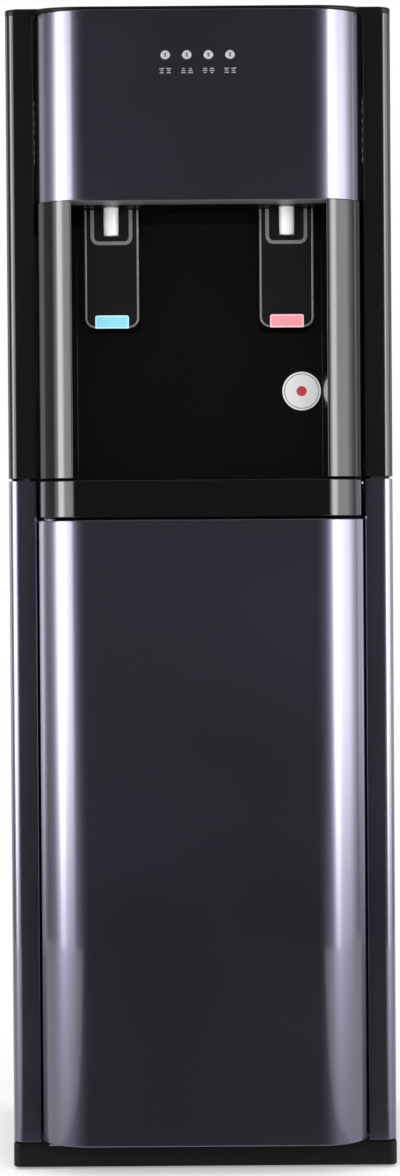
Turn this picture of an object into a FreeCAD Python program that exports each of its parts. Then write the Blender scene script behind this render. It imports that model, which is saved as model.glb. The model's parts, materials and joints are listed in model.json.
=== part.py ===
"""Bottom load water cooler: a parametric model of its separate pieces, in millimetres.

The origin is the bottom centre of the whole cooler, +Z is up and the front faces -Y.
Every driving size is a cell of the sheet "Sizes", and the pieces are bound to those cells.
"""
import FreeCAD, Part

import math
import os

from types import SimpleNamespace

import Sketcher
from FreeCAD import Placement, Rotation, Vector

SIZES = {
    # the cabinet as a whole
    "body_width": 325, "body_depth": 322, "body_height": 980, "front_plane": 150, "split_height": 584,
    "split_gap": 2, "sheet": 1.2, "touch_gap": 0.3,
    # the curved front that the head, the columns, the tray and the door share
    "bulge_depth": 29.6, "bulge_radius": 45, "bulge_stub": 2, "skin": 2.4,
    # plinth and feet
    "pad_height": 2, "pad_radius": 14, "pad_inset": 32, "plinth_height": 20, "plinth_wall": 4,
    "plinth_radius": 6, "curb_height": 1.5, "curb_inset": 1.5,
    # side sheets
    "pillar_width": 24, "pillar_radius": 8, "jamb_depth": 32, "rear_flange": 14, "bend_radius": 2,
    # decks
    "floor_thickness": 3, "deck_height": 550, "deck_sheet": 1.5, "deck_flange": 50, "deck_setback": 11,
    "bottle_ring_radius": 128, "bottle_ring_width": 4, "bottle_ring_height": 1,
    # rear panels
    "slot_height": 4, "slot_pitch": 9, "fan_slot_width": 84, "top_slot_width": 96, "top_slot_side": 74,
    "top_slot_height": 64, "top_slot_drop": 60,
    "screw_radius": 3.6, "screw_head": 1.6, "screw_shank": 1.6, "screw_reach": 6, "screw_inset": 7,
    # top cover and head
    "cover_height": 5, "cover_round": 4, "cover_slope": 2.6, "head_gap": 3.5, "head_height": 159,
    "head_flange": 36, "head_skin": 2.4, "lug_height": 30, "lug_depth": 5,
    "lens_count": 4, "lens_radius": 4.4, "lens_pitch": 18, "lens_drop": 38.5, "lens_proud": 0.4,
    "lens_length": 6,
    "board_width": 96, "board_height": 40, "board_sheet": 1.6, "board_gap": 9, "led_size": 4,
    "post_radius": 3, "relay_size": 14,
    # dispensing recess
    "column_gap": 2.5, "column_width": 29.5, "recess_back": 60, "moulding": 2.2, "edge_round": 3.5,
    "badge_radius": 16.8, "badge_sheet": 0.3, "badge_inset": 18, "badge_height": 661,
    # taps
    "tap_inset": 31.5, "paddle_width": 47, "paddle_drop": 102, "paddle_front": 100, "paddle_sheet": 3,
    "paddle_round": 9, "bead_width": 1.2, "bead_proud": 0.8, "rib_width": 36, "rib_band": 3.2,
    "rib_proud": 1.8, "rib_drop": 30.5, "rib_round": 7, "rib_top": 3, "tab_width": 29, "tab_height": 11.3,
    "tab_proud": 1.6, "tab_round": 2, "pivot_lift": 24, "pin_radius": 1.5, "hub_radius": 4.5,
    "hub_left": 18, "hub_right": 11, "neck_width": 37, "neck_drop": 4, "shoulder_drop": 2,
    "flange_sheet": 1.5, "pin_fit": 0.02, "run_fit": 0.05,
    "ear_sheet": 3, "ear_gap": 1.5, "ear_height": 27, "ear_depth": 12,
    "swing_room": 6.5, "under_sheet": 3, "switch_width": 20, "switch_depth": 8, "switch_height": 12,
    "spring_radius": 3.2, "spring_wire": 0.7, "spring_turns": 3, "spring_pitch": 1.4,
    "nozzle_radius": 6.5, "nozzle_bore": 3.5, "nozzle_drop": 23.5, "nozzle_front": 112,
    "nozzle_flange": 9, "barb_height": 16,
    # drip tray
    "band_bottom": 551.5, "band_gap": 1, "tray_side_gap": 3, "tray_wall": 1.8, "housing_sheet": 2,
    "grille_sheet": 2.5, "grille_rim": 7, "grille_slot": 4, "grille_pitch": 9,
    "tray_rear_gap": 1.5,
    # door and its hinge
    "door_gap": 1.5, "door_bottom": 24, "door_top": 549.5, "door_reach": 4, "liner_sheet": 2,
    "hinge_inset": 10, "hinge_proud": 5, "hinge_pin": 2.5, "hinge_plate": 1, "hinge_boss": 4,
    "boss_height": 12, "plate_width": 9, "plate_rear": 30, "magnet_height": 24, "magnet_width": 7,
    "magnet_depth": 5, "magnet_level": 532, "magnet_inset": 1.5, "reed_depth": 14, "reed_width": 6.5,
    # cold side
    "tank_side_gap": 9.3, "tank_inset": 137, "tank_radius": 60, "tank_height": 220, "tank_sheet": 1.2,
    "foam_radius": 80, "foam_base": 25, "lid_height": 6, "block_width": 44, "block_depth": 24,
    "cell_width": 40, "cell_depth": 4, "sink_width": 100, "sink_base": 5, "fin_depth": 18,
    "fin_sheet": 1.2, "fin_count": 16, "fan_width": 92, "fan_depth": 20, "fan_tip": 40,
    "fan_tip_gap": 2, "fan_hub": 17, "fan_level": 700, "fan_blades": 7, "blade_sheet": 1.6,
    "blade_chord": 14, "blade_pitch": 35, "shaft_radius": 1.5, "spider_width": 6, "spider_sheet": 3,
    # hot side
    "boiler_side": 90, "boiler_rear": 20, "boiler_radius": 42, "boiler_height": 160, "boiler_base": 75,
    "leg_radius": 4, "heater_height": 40, "heater_sheet": 1.5, "heater_lift": 15, "stub_height": 8,
    # pump, power and hoses
    "pump_radius": 18, "pump_length": 44, "pump_head": 26, "pump_side": 30, "pump_inset": 50,
    "pump_lift": 26, "port_length": 6, "port_pitch": 14, "boiler_port": 15, "supply_depth": 70,
    "supply_width": 35, "supply_height": 100, "supply_level": 680, "supply_inset": 12,
    "hose_radius": 4, "hose_bend": 9, "suction_bend": 60, "hose_sag": 9, "feed_level": 590, "feed_run": 35,
    "riser_setback": 18, "fill_rise": 36, "draw_rise": 30, "drain_run": 60,
    "fill_side": 22, "fill_rear": 25,
    # probe in the bottle bay
    "probe_side_inset": 31.3, "probe_inset": 33, "probe_radius": 6, "probe_bottom": 45, "foot_radius": 7.5,
    "foot_height": 22, "collar_radius": 29, "collar_bottom": 518, "collar_height": 12,
    "elbow_height": 11, "elbow_reach": 12, "gland_side": -60, "gland_inset": 22, "gland_size": 12,
    "gland_stub": 3, "cradle_width": 49, "cradle_sheet": 9, "clip_level": 150,
    # fittings on the back
    "inlet_side": 70, "inlet_level": 632, "inlet_width": 28, "inlet_height": 22, "inlet_depth": 20,
    "inlet_flange": 50, "inlet_socket": 15, "contact_step": 6, "contact_setback": 5,
    "contact_sheet": 2, "contact_width": 4,
    "rocker_side": 15, "rocker_pitch": 34, "rocker_width": 13, "rocker_height": 19, "rocker_gap": 0.5,
    "rocker_sunk": 4, "rocker_low": 0.5, "rocker_middle": 2, "rocker_high": 4.5,
    "trunnion_radius": 1.2, "bezel_width": 21, "bezel_height": 29, "bezel_body_width": 17,
    "bezel_body_height": 25, "bezel_depth": 18, "fitting_proud": 2.5, "drain_inset": 43.3, "drain_level": 601,
    "drain_radius": 6, "drain_flange": 11, "drain_inside": 15, "drain_proud": 5, "nut_height": 4,
    "cap_radius": 9, "cap_length": 6.2,
}

doc = FreeCAD.newDocument("WaterCooler")
sheet = doc.addObject("Spreadsheet::Sheet", "Sizes")
for row, (alias, number) in enumerate(SIZES.items(), start=1):
    sheet.set(f"A{row}", f"'{alias}")
    sheet.set(f"B{row}", str(number))
    sheet.setAlias(f"B{row}", alias)
doc.recompute()


class Size:
    """A length with its value now and the sheet expression that it comes from."""

    def __init__(self, text, number):
        self.text = text
        self.number = number

    def join(self, sign, other, number):
        return Size(f"({self.text} {sign} {words(other)})", number)

    def __add__(self, other):
        return self.join("+", other, self.number + plain(other))

    def __sub__(self, other):
        return self.join("-", other, self.number - plain(other))

    def __mul__(self, other):
        return self.join("*", other, self.number * plain(other))

    def __truediv__(self, other):
        return self.join("/", other, self.number / plain(other))

    def __neg__(self):
        return Size(f"(0 - {self.text})", -self.number)

    def __radd__(self, other):
        return Size(f"({words(other)} + {self.text})", plain(other) + self.number)

    def __rsub__(self, other):
        return Size(f"({words(other)} - {self.text})", plain(other) - self.number)

    __rmul__ = __mul__


def words(value):
    return value.text if isinstance(value, Size) else f"{value:.6g}"


def plain(value):
    return value.number if isinstance(value, Size) else value


def cell(alias):
    return Size(f"Sizes.{alias}", float(SIZES[alias]))


mm = SimpleNamespace(**{alias: cell(alias) for alias in SIZES})


def bind(item, prop, value):
    """Tie a property to the sheet through the value's expression."""
    item.setExpression(prop, words(value))


# ---------------------------------------------------------------- building blocks

NEAR = 0.01  # how close two coordinates are to count as the same, in mm
nodes = []


def both(value):
    return (-value, value)


def centred(middle, width):
    return (middle - width / 2, middle + width / 2)


def keep(label, item):
    """Give a finished piece its own label and put it on the list that is written out."""
    item.Label = label
    nodes.append(item)
    return item


def place(item, x, y, z):
    for axis, value in zip("xyz", (x, y, z)):
        bind(item, f"Placement.Base.{axis}", value)


def block(name, x, y, z):
    """A box between two values on each axis."""
    item = doc.addObject("Part::Box", name)
    for prop, span in zip(("Length", "Width", "Height"), (x, y, z)):
        bind(item, prop, span[1] - span[0])
    place(item, x[0], y[0], z[0])
    return item


TURN = {"x": Rotation(Vector(0, 1, 0), 90), "y": Rotation(Vector(1, 0, 0), -90), "z": Rotation()}


def rod(name, axis, radius, start, length):
    """A cylinder that starts at a point and runs up its axis."""
    item = doc.addObject("Part::Cylinder", name)
    item.Placement = Placement(Vector(), TURN[axis])
    bind(item, "Radius", radius)
    bind(item, "Height", length)
    place(item, *start)
    return item


def fuse(name, *items):
    item = doc.addObject("Part::MultiFuse", name)
    item.Shapes = list(items)
    item.Refine = True
    return item


def cut(name, base, *tools):
    item = doc.addObject("Part::Cut", name)
    item.Base = base
    item.Tool = tools[0] if len(tools) == 1 else fuse(name + "_tools", *tools)
    item.Refine = True
    return item


def rounded(name, base, radius, pick):
    """Round the edges of a piece that pick() chooses."""
    doc.recompute()
    item = doc.addObject("Part::Fillet", name)
    item.Base = base
    edges = enumerate(base.Shape.Edges, start=1)
    item.Edges = [(number, plain(radius), plain(radius)) for number, edge in edges if pick(edge)]
    return item


def upright(edge):
    ends = [vertex.Point for vertex in edge.Vertexes]
    return len(ends) == 2 and math.dist(ends[0][:2], ends[1][:2]) < NEAR


PLANES = {"z": "XY_Plane", "y": "XZ_Plane", "x": "YZ_Plane"}


def sketch_on(body, axis, start):
    """An empty sketch across an axis; on "y" the sketch looks towards -Y."""
    sketch = body.newObject("Sketcher::SketchObject", body.Name + "_sketch")
    origin = [item for item in body.Origin.OriginFeatures if item.Role == PLANES[axis]]
    sketch.AttachmentSupport = (origin[0], [""])
    sketch.MapMode = "FlatFace"
    bind(sketch, "AttachmentOffset.Base.z", -start if axis == "y" else start)
    return sketch


def pin_point(sketch, line, end, point):
    for kind, value in zip(("DistanceX", "DistanceY"), point):
        rule = Sketcher.Constraint(kind, -1, 1, line, end, plain(value))
        number = sketch.addConstraint(rule)
        bind(sketch, f"Constraints[{number}]", value)


def polygon(sketch, points):
    flat = [Vector(plain(x), plain(y), 0) for x, y in points]
    for number, point in enumerate(flat):
        following = flat[(number + 1) % len(flat)]
        sketch.addGeometry(Part.LineSegment(point, following), False)
    for number in range(len(flat)):
        following = (number + 1) % len(flat)
        sketch.addConstraint(Sketcher.Constraint("Coincident", number, 2, following, 1))
    for number, point in enumerate(points):
        pin_point(sketch, number, 1, point)


def outline(name, axis, points, start, length, corners=()):
    """A straight-sided outline padded along its axis, with some of its corners rounded.

    corners lists (point number, radius); a pad on "y" grows towards -Y from its start.
    """
    body = doc.addObject("PartDesign::Body", name)
    sketch = sketch_on(body, axis, start)
    polygon(sketch, points)
    pad = body.newObject("PartDesign::Pad", name + "_pad")
    pad.Profile = sketch
    bind(pad, "Length", length)
    for number, radius in corners:
        doc.recompute()
        spot = [plain(value) for value in points[number]]
        base = body.Tip
        fillet = body.newObject("PartDesign::Fillet", f"{name}_round_{number}")
        fillet.Base = (base, [corner_edge(base.Shape, axis, spot)])
        bind(fillet, "Radius", radius)
    return body


def corner_edge(shape, axis, spot):
    """The name of the straight edge that runs along the axis through a corner of the outline."""
    across = {"z": ("x", "y"), "y": ("x", "z"), "x": ("y", "z")}[axis]
    for number, edge in enumerate(shape.Edges, start=1):
        ends = [vertex.Point for vertex in edge.Vertexes]
        if len(ends) == 2 and all(
            math.dist((getattr(end, across[0]), getattr(end, across[1])), spot) < NEAR for end in ends
        ):
            return f"Edge{number}"
    raise ValueError(f"no edge at {spot}")


def oblong(name, x, y, z, corners):
    """An upright block whose plan corners are rounded, counted from (low x, low y) anticlockwise."""
    points = [(x[0], y[0]), (x[1], y[0]), (x[1], y[1]), (x[0], y[1])]
    return outline(name, "z", points, z[0], z[1] - z[0], corners)


def bulge(name, half, inset, rear, z):
    """A block with the cooler's curved front: flat in the middle, an arc at each end, a short side.

    inset moves the curved front and the sides inwards, for the inside of a shell.
    """
    width = half - inset
    radius = mm.bulge_radius - inset
    crown = -(mm.front_plane + mm.bulge_depth - inset)
    shoulder = -(mm.front_plane + mm.bulge_stub)
    middle = plain(crown + radius)
    run = math.sqrt(plain(radius) ** 2 - (middle - plain(shoulder)) ** 2)
    flat = plain(width) - run
    low = math.atan2(plain(shoulder) - middle, -run)
    body = doc.addObject("PartDesign::Body", name)
    sketch = sketch_on(body, "z", z[0])
    corner = [Vector(-plain(width), plain(rear), 0), Vector(-plain(width), plain(shoulder), 0),
              Vector(-flat, plain(crown), 0), Vector(flat, plain(crown), 0),
              Vector(plain(width), plain(shoulder), 0), Vector(plain(width), plain(rear), 0)]
    sketch.addGeometry(Part.LineSegment(corner[0], corner[1]), False)
    left = Part.Circle(Vector(-flat, middle, 0), Vector(0, 0, 1), plain(radius))
    sketch.addGeometry(Part.ArcOfCircle(left, low, -math.pi / 2), False)
    sketch.addGeometry(Part.LineSegment(corner[2], corner[3]), False)
    right = Part.Circle(Vector(flat, middle, 0), Vector(0, 0, 1), plain(radius))
    sketch.addGeometry(Part.ArcOfCircle(right, -math.pi / 2, -math.pi - low), False)
    sketch.addGeometry(Part.LineSegment(corner[4], corner[5]), False)
    sketch.addGeometry(Part.LineSegment(corner[5], corner[0]), False)
    sketch.addConstraint(Sketcher.Constraint("Coincident", 0, 2, 1, 1))
    sketch.addConstraint(Sketcher.Constraint("Tangent", 1, 2, 2, 1))
    sketch.addConstraint(Sketcher.Constraint("Tangent", 2, 2, 3, 1))
    sketch.addConstraint(Sketcher.Constraint("Coincident", 3, 2, 4, 1))
    sketch.addConstraint(Sketcher.Constraint("Coincident", 4, 2, 5, 1))
    sketch.addConstraint(Sketcher.Constraint("Coincident", 5, 2, 0, 1))
    pin_point(sketch, 0, 1, (-width, rear))
    pin_point(sketch, 0, 2, (-width, shoulder))
    pin_point(sketch, 4, 1, (width, shoulder))
    pin_point(sketch, 4, 2, (width, rear))
    sketch.addConstraint(Sketcher.Constraint("Horizontal", 2))
    number = sketch.addConstraint(Sketcher.Constraint("DistanceY", -1, 1, 2, 1, plain(crown)))
    bind(sketch, f"Constraints[{number}]", crown)
    for arc in (1, 3):
        number = sketch.addConstraint(Sketcher.Constraint("Radius", arc, plain(radius)))
        bind(sketch, f"Constraints[{number}]", radius)
    pad = body.newObject("PartDesign::Pad", name + "_pad")
    pad.Profile = sketch
    bind(pad, "Length", z[1] - z[0])
    return body


def tube_path(points, bend):
    """Straight runs between the points, joined by tangent arcs of one radius where they turn."""
    edges = []
    start = points[0]
    for before, here, after in zip(points, points[1:], points[2:]):
        into = (here - before).normalize()
        out = (after - here).normalize()
        turn = into.getAngle(out)
        setback = bend * math.tan(turn / 2)
        first = here - into * setback
        last = here + out * setback
        toward = (out - into).normalize()
        middle = here + toward * (bend / math.cos(turn / 2) - bend)
        edges.append(Part.LineSegment(start, first).toShape())
        edges.append(Part.Arc(first, middle, last).toShape())
        start = last
    edges.append(Part.LineSegment(start, points[-1]).toShape())
    return Part.Wire(edges)


def tube(points, radius, bend):
    """A round tube along straight runs and arcs."""
    path = tube_path([Vector(*[plain(value) for value in point]) for point in points], plain(bend))
    first = path.Edges[0]
    heading = first.tangentAt(first.FirstParameter)
    ring = Part.Wire(Part.Circle(path.Edges[0].Vertexes[0].Point, heading, plain(radius)).toShape())
    solid = path.makePipeShell([ring], True, False)
    ideal = math.pi * plain(radius) ** 2 * path.Length
    if abs(solid.Volume / ideal - 1) > 0.01:
        raise ValueError("a hose has the wrong volume")
    return solid


def feature(label, shape, placement=Placement()):
    item = doc.addObject("Part::Feature", label)
    item.Shape = shape
    item.Placement = placement
    return keep(label, item)


# ---------------------------------------------------------------- shared places

half = mm.body_width / 2
inner_half = half - mm.sheet
front = -mm.front_plane
rear = mm.body_depth - mm.front_plane
rear_inside = rear - mm.sheet
flange_inside = rear_inside - mm.sheet
jamb_half = half - mm.pillar_width
jamb_inner = jamb_half + mm.sheet
jamb_rear = front + mm.jamb_depth
plinth_top = mm.pad_height + mm.plinth_height
curb_top = plinth_top + mm.curb_height
lower_top = mm.split_height - mm.split_gap / 2
upper_bottom = mm.split_height + mm.split_gap / 2
cover_bottom = mm.body_height - mm.cover_height
recess_top = cover_bottom - mm.head_height
crown = front - mm.bulge_depth
recess_rear = -mm.recess_back
liner_rear = recess_rear + mm.moulding
deck_top = mm.deck_height
deck_bottom = deck_top - mm.deck_sheet
deck_front = front + mm.deck_setback
far = mm.body_depth
head_half = jamb_half - mm.head_gap
column_half = jamb_half - mm.column_gap
door_half = jamb_half - mm.door_gap
recess_half = column_half - mm.column_width
tray_half = recess_half - mm.tray_side_gap
tap_side = recess_half - mm.tap_inset
tap_sides = {"cold": -tap_side, "hot": tap_side}
tank_side = inner_half - mm.foam_radius - mm.tank_side_gap
drain_side = inner_half - mm.drain_inset
tank_rear = rear - mm.tank_inset
pump_rear = rear - mm.pump_inset
probe_side = inner_half - mm.probe_side_inset
probe_rear = rear - mm.probe_inset
gland_rear = rear - mm.gland_inset
plate_x = centred(-(door_half - mm.hinge_inset), mm.plate_width)
plate_rear = front + mm.plate_rear
top_slot_level = cover_bottom - mm.top_slot_drop
rocker_sides = {"cold": mm.rocker_side, "heat": mm.rocker_side - mm.rocker_pitch}
lens_level = cover_bottom - mm.lens_drop
board_front = crown + mm.head_skin + mm.board_gap
paddle_back = mm.paddle_sheet - mm.paddle_front
paddle_bottom = recess_top - mm.paddle_drop
pivot_y = mm.paddle_sheet / 2 - mm.paddle_front
pivot_z = recess_top + mm.pivot_lift
shoulder = recess_top - mm.shoulder_drop
neck_top = pivot_z - mm.neck_drop
ear_inner = mm.neck_width / 2 + mm.ear_gap * 2
housing_rear = recess_rear + mm.housing_sheet
housing_floor_top = deck_top + mm.housing_sheet
basin_rear = recess_rear - mm.tray_rear_gap
basin_top = lower_top - mm.grille_sheet
door_back = front + mm.door_reach
hinge_x = -(door_half - mm.hinge_inset)
hinge_y = front - mm.hinge_proud
tank_top = deck_top + mm.foam_base + mm.tank_height
fill_spot = (mm.fill_side - tank_side, tank_rear + mm.fill_rear)
draw_spot = (-tank_side - mm.fill_side, tank_rear - mm.fill_rear)
cell_front = tank_rear + mm.tank_radius + mm.block_depth
sink_front = cell_front + mm.cell_depth
fan_front = sink_front + mm.sink_base + mm.fin_depth
barb_end = probe_side - mm.probe_radius - mm.elbow_reach
barb_level = mm.collar_bottom + mm.collar_height + mm.elbow_height / 2
gland_end = mm.gland_side + mm.gland_size / 2 + mm.elbow_reach


# ---------------------------------------------------------------- plinth, feet and decks

def hinge_notch(name, z):
    """The room that a hinge plate takes, with a gap all round."""
    x = plate_x
    gap = mm.touch_gap
    return block(name, (x[0] - gap, x[1] + gap), (front - mm.body_depth, plate_rear + gap), z)


def base_plinth():
    y = (front, rear)
    ends = [(0, mm.plinth_radius), (1, mm.plinth_radius), (2, mm.bend_radius), (3, mm.bend_radius)]
    outer = oblong("plinth_outer", both(half), y, (mm.pad_height, plinth_top), ends)
    inner_x = both(half - mm.plinth_wall)
    inner_y = (front + mm.plinth_wall, rear - mm.plinth_wall)
    cavity = block("plinth_cavity", inner_x, inner_y, (mm.pad_height + mm.floor_thickness, curb_top))
    curb_x = both(half - mm.curb_inset)
    curb_y = (front + mm.curb_inset, rear - mm.curb_inset)
    curb = oblong("plinth_curb", curb_x, curb_y, (plinth_top, curb_top), ends)
    rib_x = both(half - mm.plinth_wall / 2)
    ribs = [
        block(f"plinth_rib_{number}", rib_x, centred(middle, mm.plinth_wall), (mm.pad_height, curb_top))
        for number, middle in enumerate([front + mm.body_depth / 3, front + mm.body_depth * 2 / 3])
    ]
    shell = cut("plinth_shell", fuse("plinth_solid", outer, curb), cavity)
    ribbed = fuse("plinth_ribbed", shell, *ribs)
    notch = hinge_notch("plinth_notch", (plinth_top, curb_top + mm.plinth_wall))
    keep("base_plinth", cut("plinth", ribbed, notch))


def foot_pads():
    x = half - mm.pad_inset
    spots = [(sx * x, y) for sx in (-1, 1) for y in (front + mm.pad_inset, rear - mm.pad_inset)]
    pads = [
        rod(f"pad_{number}", "z", mm.pad_radius, (x, y, 0), mm.pad_height)
        for number, (x, y) in enumerate(spots)
    ]
    keep("foot_pads", fuse("pads", *pads))


def deck_plan(name, z):
    """A deck between the side sheets that is narrower between the jambs at the front."""
    wide = block(name + "_wide", both(inner_half), (jamb_rear, flange_inside), z)
    tongue = block(name + "_tongue", both(jamb_half), (deck_front, jamb_rear + mm.plinth_wall), z)
    return fuse(name + "_plan", wide, tongue)


def bay_floor():
    z = (curb_top, curb_top + mm.floor_thickness)
    plate = deck_plan("floor", z)
    middle = (0, (deck_front + rear) / 2 - mm.bottle_ring_width)
    ring = cut(
        "bottle_ring",
        rod("ring_outer", "z", mm.bottle_ring_radius, (*middle, z[1]), mm.bottle_ring_height),
        rod("ring_inner", "z", mm.bottle_ring_radius - mm.bottle_ring_width, (*middle, z[0]), far),
    )
    keep("bay_floor", fuse("floor_and_ring", plate, ring))


def mid_deck():
    plate = deck_plan("deck", (deck_bottom, deck_top))
    z = (deck_top, deck_top + mm.deck_flange)
    flanges = [
        block(f"deck_flange_{name}", x, (jamb_rear, flange_inside), z)
        for name, x in (("left", (-inner_half, mm.deck_sheet - inner_half)),
                        ("right", (inner_half - mm.deck_sheet, inner_half)))
    ]
    gland = rod("gland_hole", "z", mm.hose_radius + mm.touch_gap,
                (mm.gland_side, gland_rear, deck_bottom), far)
    keep("mid_deck", cut("deck", fuse("deck_and_flanges", plate, *flanges), gland))


# ---------------------------------------------------------------- side sheets and rear panels

def side_sheet(label, side, z):
    """One bent sheet: the jamb, the pillar's front face, the side wall and a flange at the back."""
    points = [
        (jamb_half, jamb_rear), (jamb_half, front), (half, front), (half, rear_inside),
        (half - mm.rear_flange, rear_inside), (half - mm.rear_flange, flange_inside),
        (inner_half, flange_inside), (inner_half, front + mm.sheet), (jamb_inner, front + mm.sheet),
        (jamb_inner, jamb_rear),
    ]
    corners = [
        (1, mm.bend_radius), (2, mm.pillar_radius), (7, mm.pillar_radius - mm.sheet),
        (8, mm.bend_radius - mm.sheet),
    ]
    if side < 0:
        points = [(-x, y) for x, y in points]
    sheet_body = outline(label + "_body", "z", points, z[0], z[1] - z[0], corners)
    keep(label, cut(label + "_bored", sheet_body, *screw_holes(label, z)))


def screw_spots():
    """Where the screws hold the rear panels: x and z of each, lower panel first."""
    x = half - mm.screw_inset
    lower = [curb_top + mm.screw_inset, (curb_top + lower_top) / 2, lower_top - mm.screw_inset]
    upper = [upper_bottom + mm.screw_inset, (upper_bottom + cover_bottom) / 2, cover_bottom - mm.screw_inset]
    return [(side * x, z) for z in lower + upper for side in (-1, 1)]


def screw_holes(name, z):
    """Holes for the rear screws that lie between two heights."""
    spots = [spot for spot in screw_spots() if plain(z[0]) < plain(spot[1]) < plain(z[1])]
    start = flange_inside - mm.sheet
    return [
        rod(f"{name}_hole_{number}", "y", mm.screw_shank, (x, start, height), mm.screw_reach)
        for number, (x, height) in enumerate(spots)
    ]


def rear_screws():
    screws = []
    for number, (x, z) in enumerate(screw_spots()):
        head = rod(f"screw_head_{number}", "y", mm.screw_radius, (x, rear, z), mm.screw_head)
        shank_radius = mm.screw_shank - mm.pin_fit
        start = rear - mm.screw_reach
        shank = rod(f"screw_shank_{number}", "y", shank_radius, (x, start, z), mm.screw_reach)
        screws.append(fuse(f"screw_{number}", head, shank))
    keep("rear_screws", fuse("screws", *screws))


def louvres(name, middle, width, level, height):
    """A stack of level slots through the rear panel."""
    count = int(plain(height) / plain(mm.slot_pitch))
    slots = []
    for number in range(count):
        low = level + mm.slot_pitch * (number - (count - 1) / 2) - mm.slot_height / 2
        slots.append(block(f"{name}_{number}", centred(middle, width), (rear_inside - far, rear + far),
                           (low, low + mm.slot_height)))
    return slots


def rear_panel(label, z, openings=()):
    plate = block(label + "_plate", both(half), (rear_inside, rear), z)
    keep(label, cut(label + "_cut", plate, *screw_holes(label, z), *openings))


def rear_openings():
    through = (rear_inside - far, rear + far)
    gap = mm.pin_fit
    openings = louvres("fan_slot", -tank_side, mm.fan_slot_width, mm.fan_level, mm.fan_width)
    for side in (-1, 1):
        openings += louvres(f"top_slot_{side + 1}", side * mm.top_slot_side, mm.top_slot_width,
                            top_slot_level, mm.top_slot_height)
    inlet = block("inlet_opening", centred(mm.inlet_side, mm.inlet_width + gap), through,
                  centred(mm.inlet_level, mm.inlet_height + gap))
    openings.append(inlet)
    for name, x in rocker_sides.items():
        openings.append(block(f"{name}_opening", centred(x, mm.bezel_body_width + gap), through,
                              centred(mm.inlet_level, mm.bezel_body_height + gap)))
    openings.append(rod("drain_opening", "y", mm.drain_radius + gap,
                        (drain_side, rear_inside - far, mm.drain_level), far * 2))
    return openings


# ---------------------------------------------------------------- top cover and head

def top_cover():
    z = (cover_bottom, mm.body_height)
    ends = [(0, mm.pillar_radius), (1, mm.pillar_radius), (2, mm.bend_radius), (3, mm.bend_radius)]
    plate = oblong("cover_plate", both(half), (front, rear), z, ends)
    top = plain(mm.body_height)
    soft = rounded("cover_soft", plate, mm.cover_round,
                   lambda edge: all(abs(vertex.Z - top) < NEAR for vertex in edge.Vertexes))
    nose = bulge("cover_nose", head_half, 0, deck_front, z)
    low = mm.body_height - mm.cover_slope
    slope = [(front, mm.body_height), (crown, low), (crown - far, low), (crown - far, mm.body_height + far),
             (front, mm.body_height + far)]
    wedge = outline("cover_wedge", "x", slope, -half, mm.body_width)
    keep("top_cover", fuse("cover", soft, cut("cover_sloped_nose", nose, wedge)))


def lugs(name, inner, y, levels):
    """Small blocks that reach from a front moulding to the jambs on both sides."""
    items = []
    for number, level in enumerate(levels):
        for side in (-1, 1):
            x = (inner, jamb_half) if side > 0 else (-jamb_half, -inner)
            items.append(block(f"{name}_lug_{number}_{side + 1}", x, y, (level, level + mm.lug_height)))
    return items


def lens_spots():
    count = int(SIZES["lens_count"])
    return [((number - (count - 1) / 2) * mm.lens_pitch, lens_level) for number in range(count)]


def head_panel():
    z = (recess_top, cover_bottom)
    skin = mm.head_skin
    outer = bulge("head_outer", head_half, 0, crown + mm.head_flange, z)
    inner = bulge("head_inner", head_half, skin, front + far, (z[0] + skin, z[1] - skin))
    shell = cut("head_shell", outer, inner)
    posts = [
        rod(f"board_post_{number}", "y", mm.post_radius, (x, crown + skin / 2, z),
            board_front - crown - skin / 2)
        for number, (x, z) in enumerate(board_corners())
    ]
    sides = lugs("head", head_half - skin / 2, (front + mm.bend_radius, crown + mm.head_flange),
                 (recess_top + mm.lug_height, cover_bottom - mm.lug_height * 2))
    holes = [
        rod(f"lens_hole_{number}", "y", mm.lens_radius + mm.run_fit, (x, crown - skin, z), skin * 3)
        for number, (x, z) in enumerate(lens_spots())
    ]
    keep("head_panel", cut("head", fuse("head_solid", shell, *posts, *sides), *holes))


def indicator_lenses():
    lenses = [
        rod(f"lens_{number}", "y", mm.lens_radius, (x, crown - mm.lens_proud, z), mm.lens_length)
        for number, (x, z) in enumerate(lens_spots())
    ]
    keep("indicator_lenses", fuse("lenses", *lenses))


def board_corners():
    x = mm.board_width / 2 - mm.post_radius
    z = mm.board_height / 2 - mm.post_radius
    return [(side * x, lens_level - mm.post_radius * 2 + end * z) for side in (-1, 1) for end in (-1, 1)]


def control_board():
    middle = lens_level - mm.post_radius * 2
    plate = block("board_plate", both(mm.board_width / 2), (board_front, board_front + mm.board_sheet),
                  centred(middle, mm.board_height))
    lamp_y = (crown - mm.lens_proud + mm.lens_length + mm.touch_gap, board_front)
    lamps = [
        block(f"lamp_{number}", centred(x, mm.led_size), lamp_y, centred(z, mm.led_size))
        for number, (x, z) in enumerate(lens_spots())
    ]
    back = board_front + mm.board_sheet
    relay = block("board_relay", centred(mm.board_width / 4, mm.relay_size),
                  (back, back + mm.relay_size), centred(middle, mm.relay_size))
    chip = block("board_chip", centred(-mm.board_width / 4, mm.relay_size), (back, back + mm.board_sheet),
                 centred(middle, mm.relay_size))
    keep("control_board", fuse("board", plate, relay, chip, *lamps))


# ---------------------------------------------------------------- dispensing recess

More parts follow.
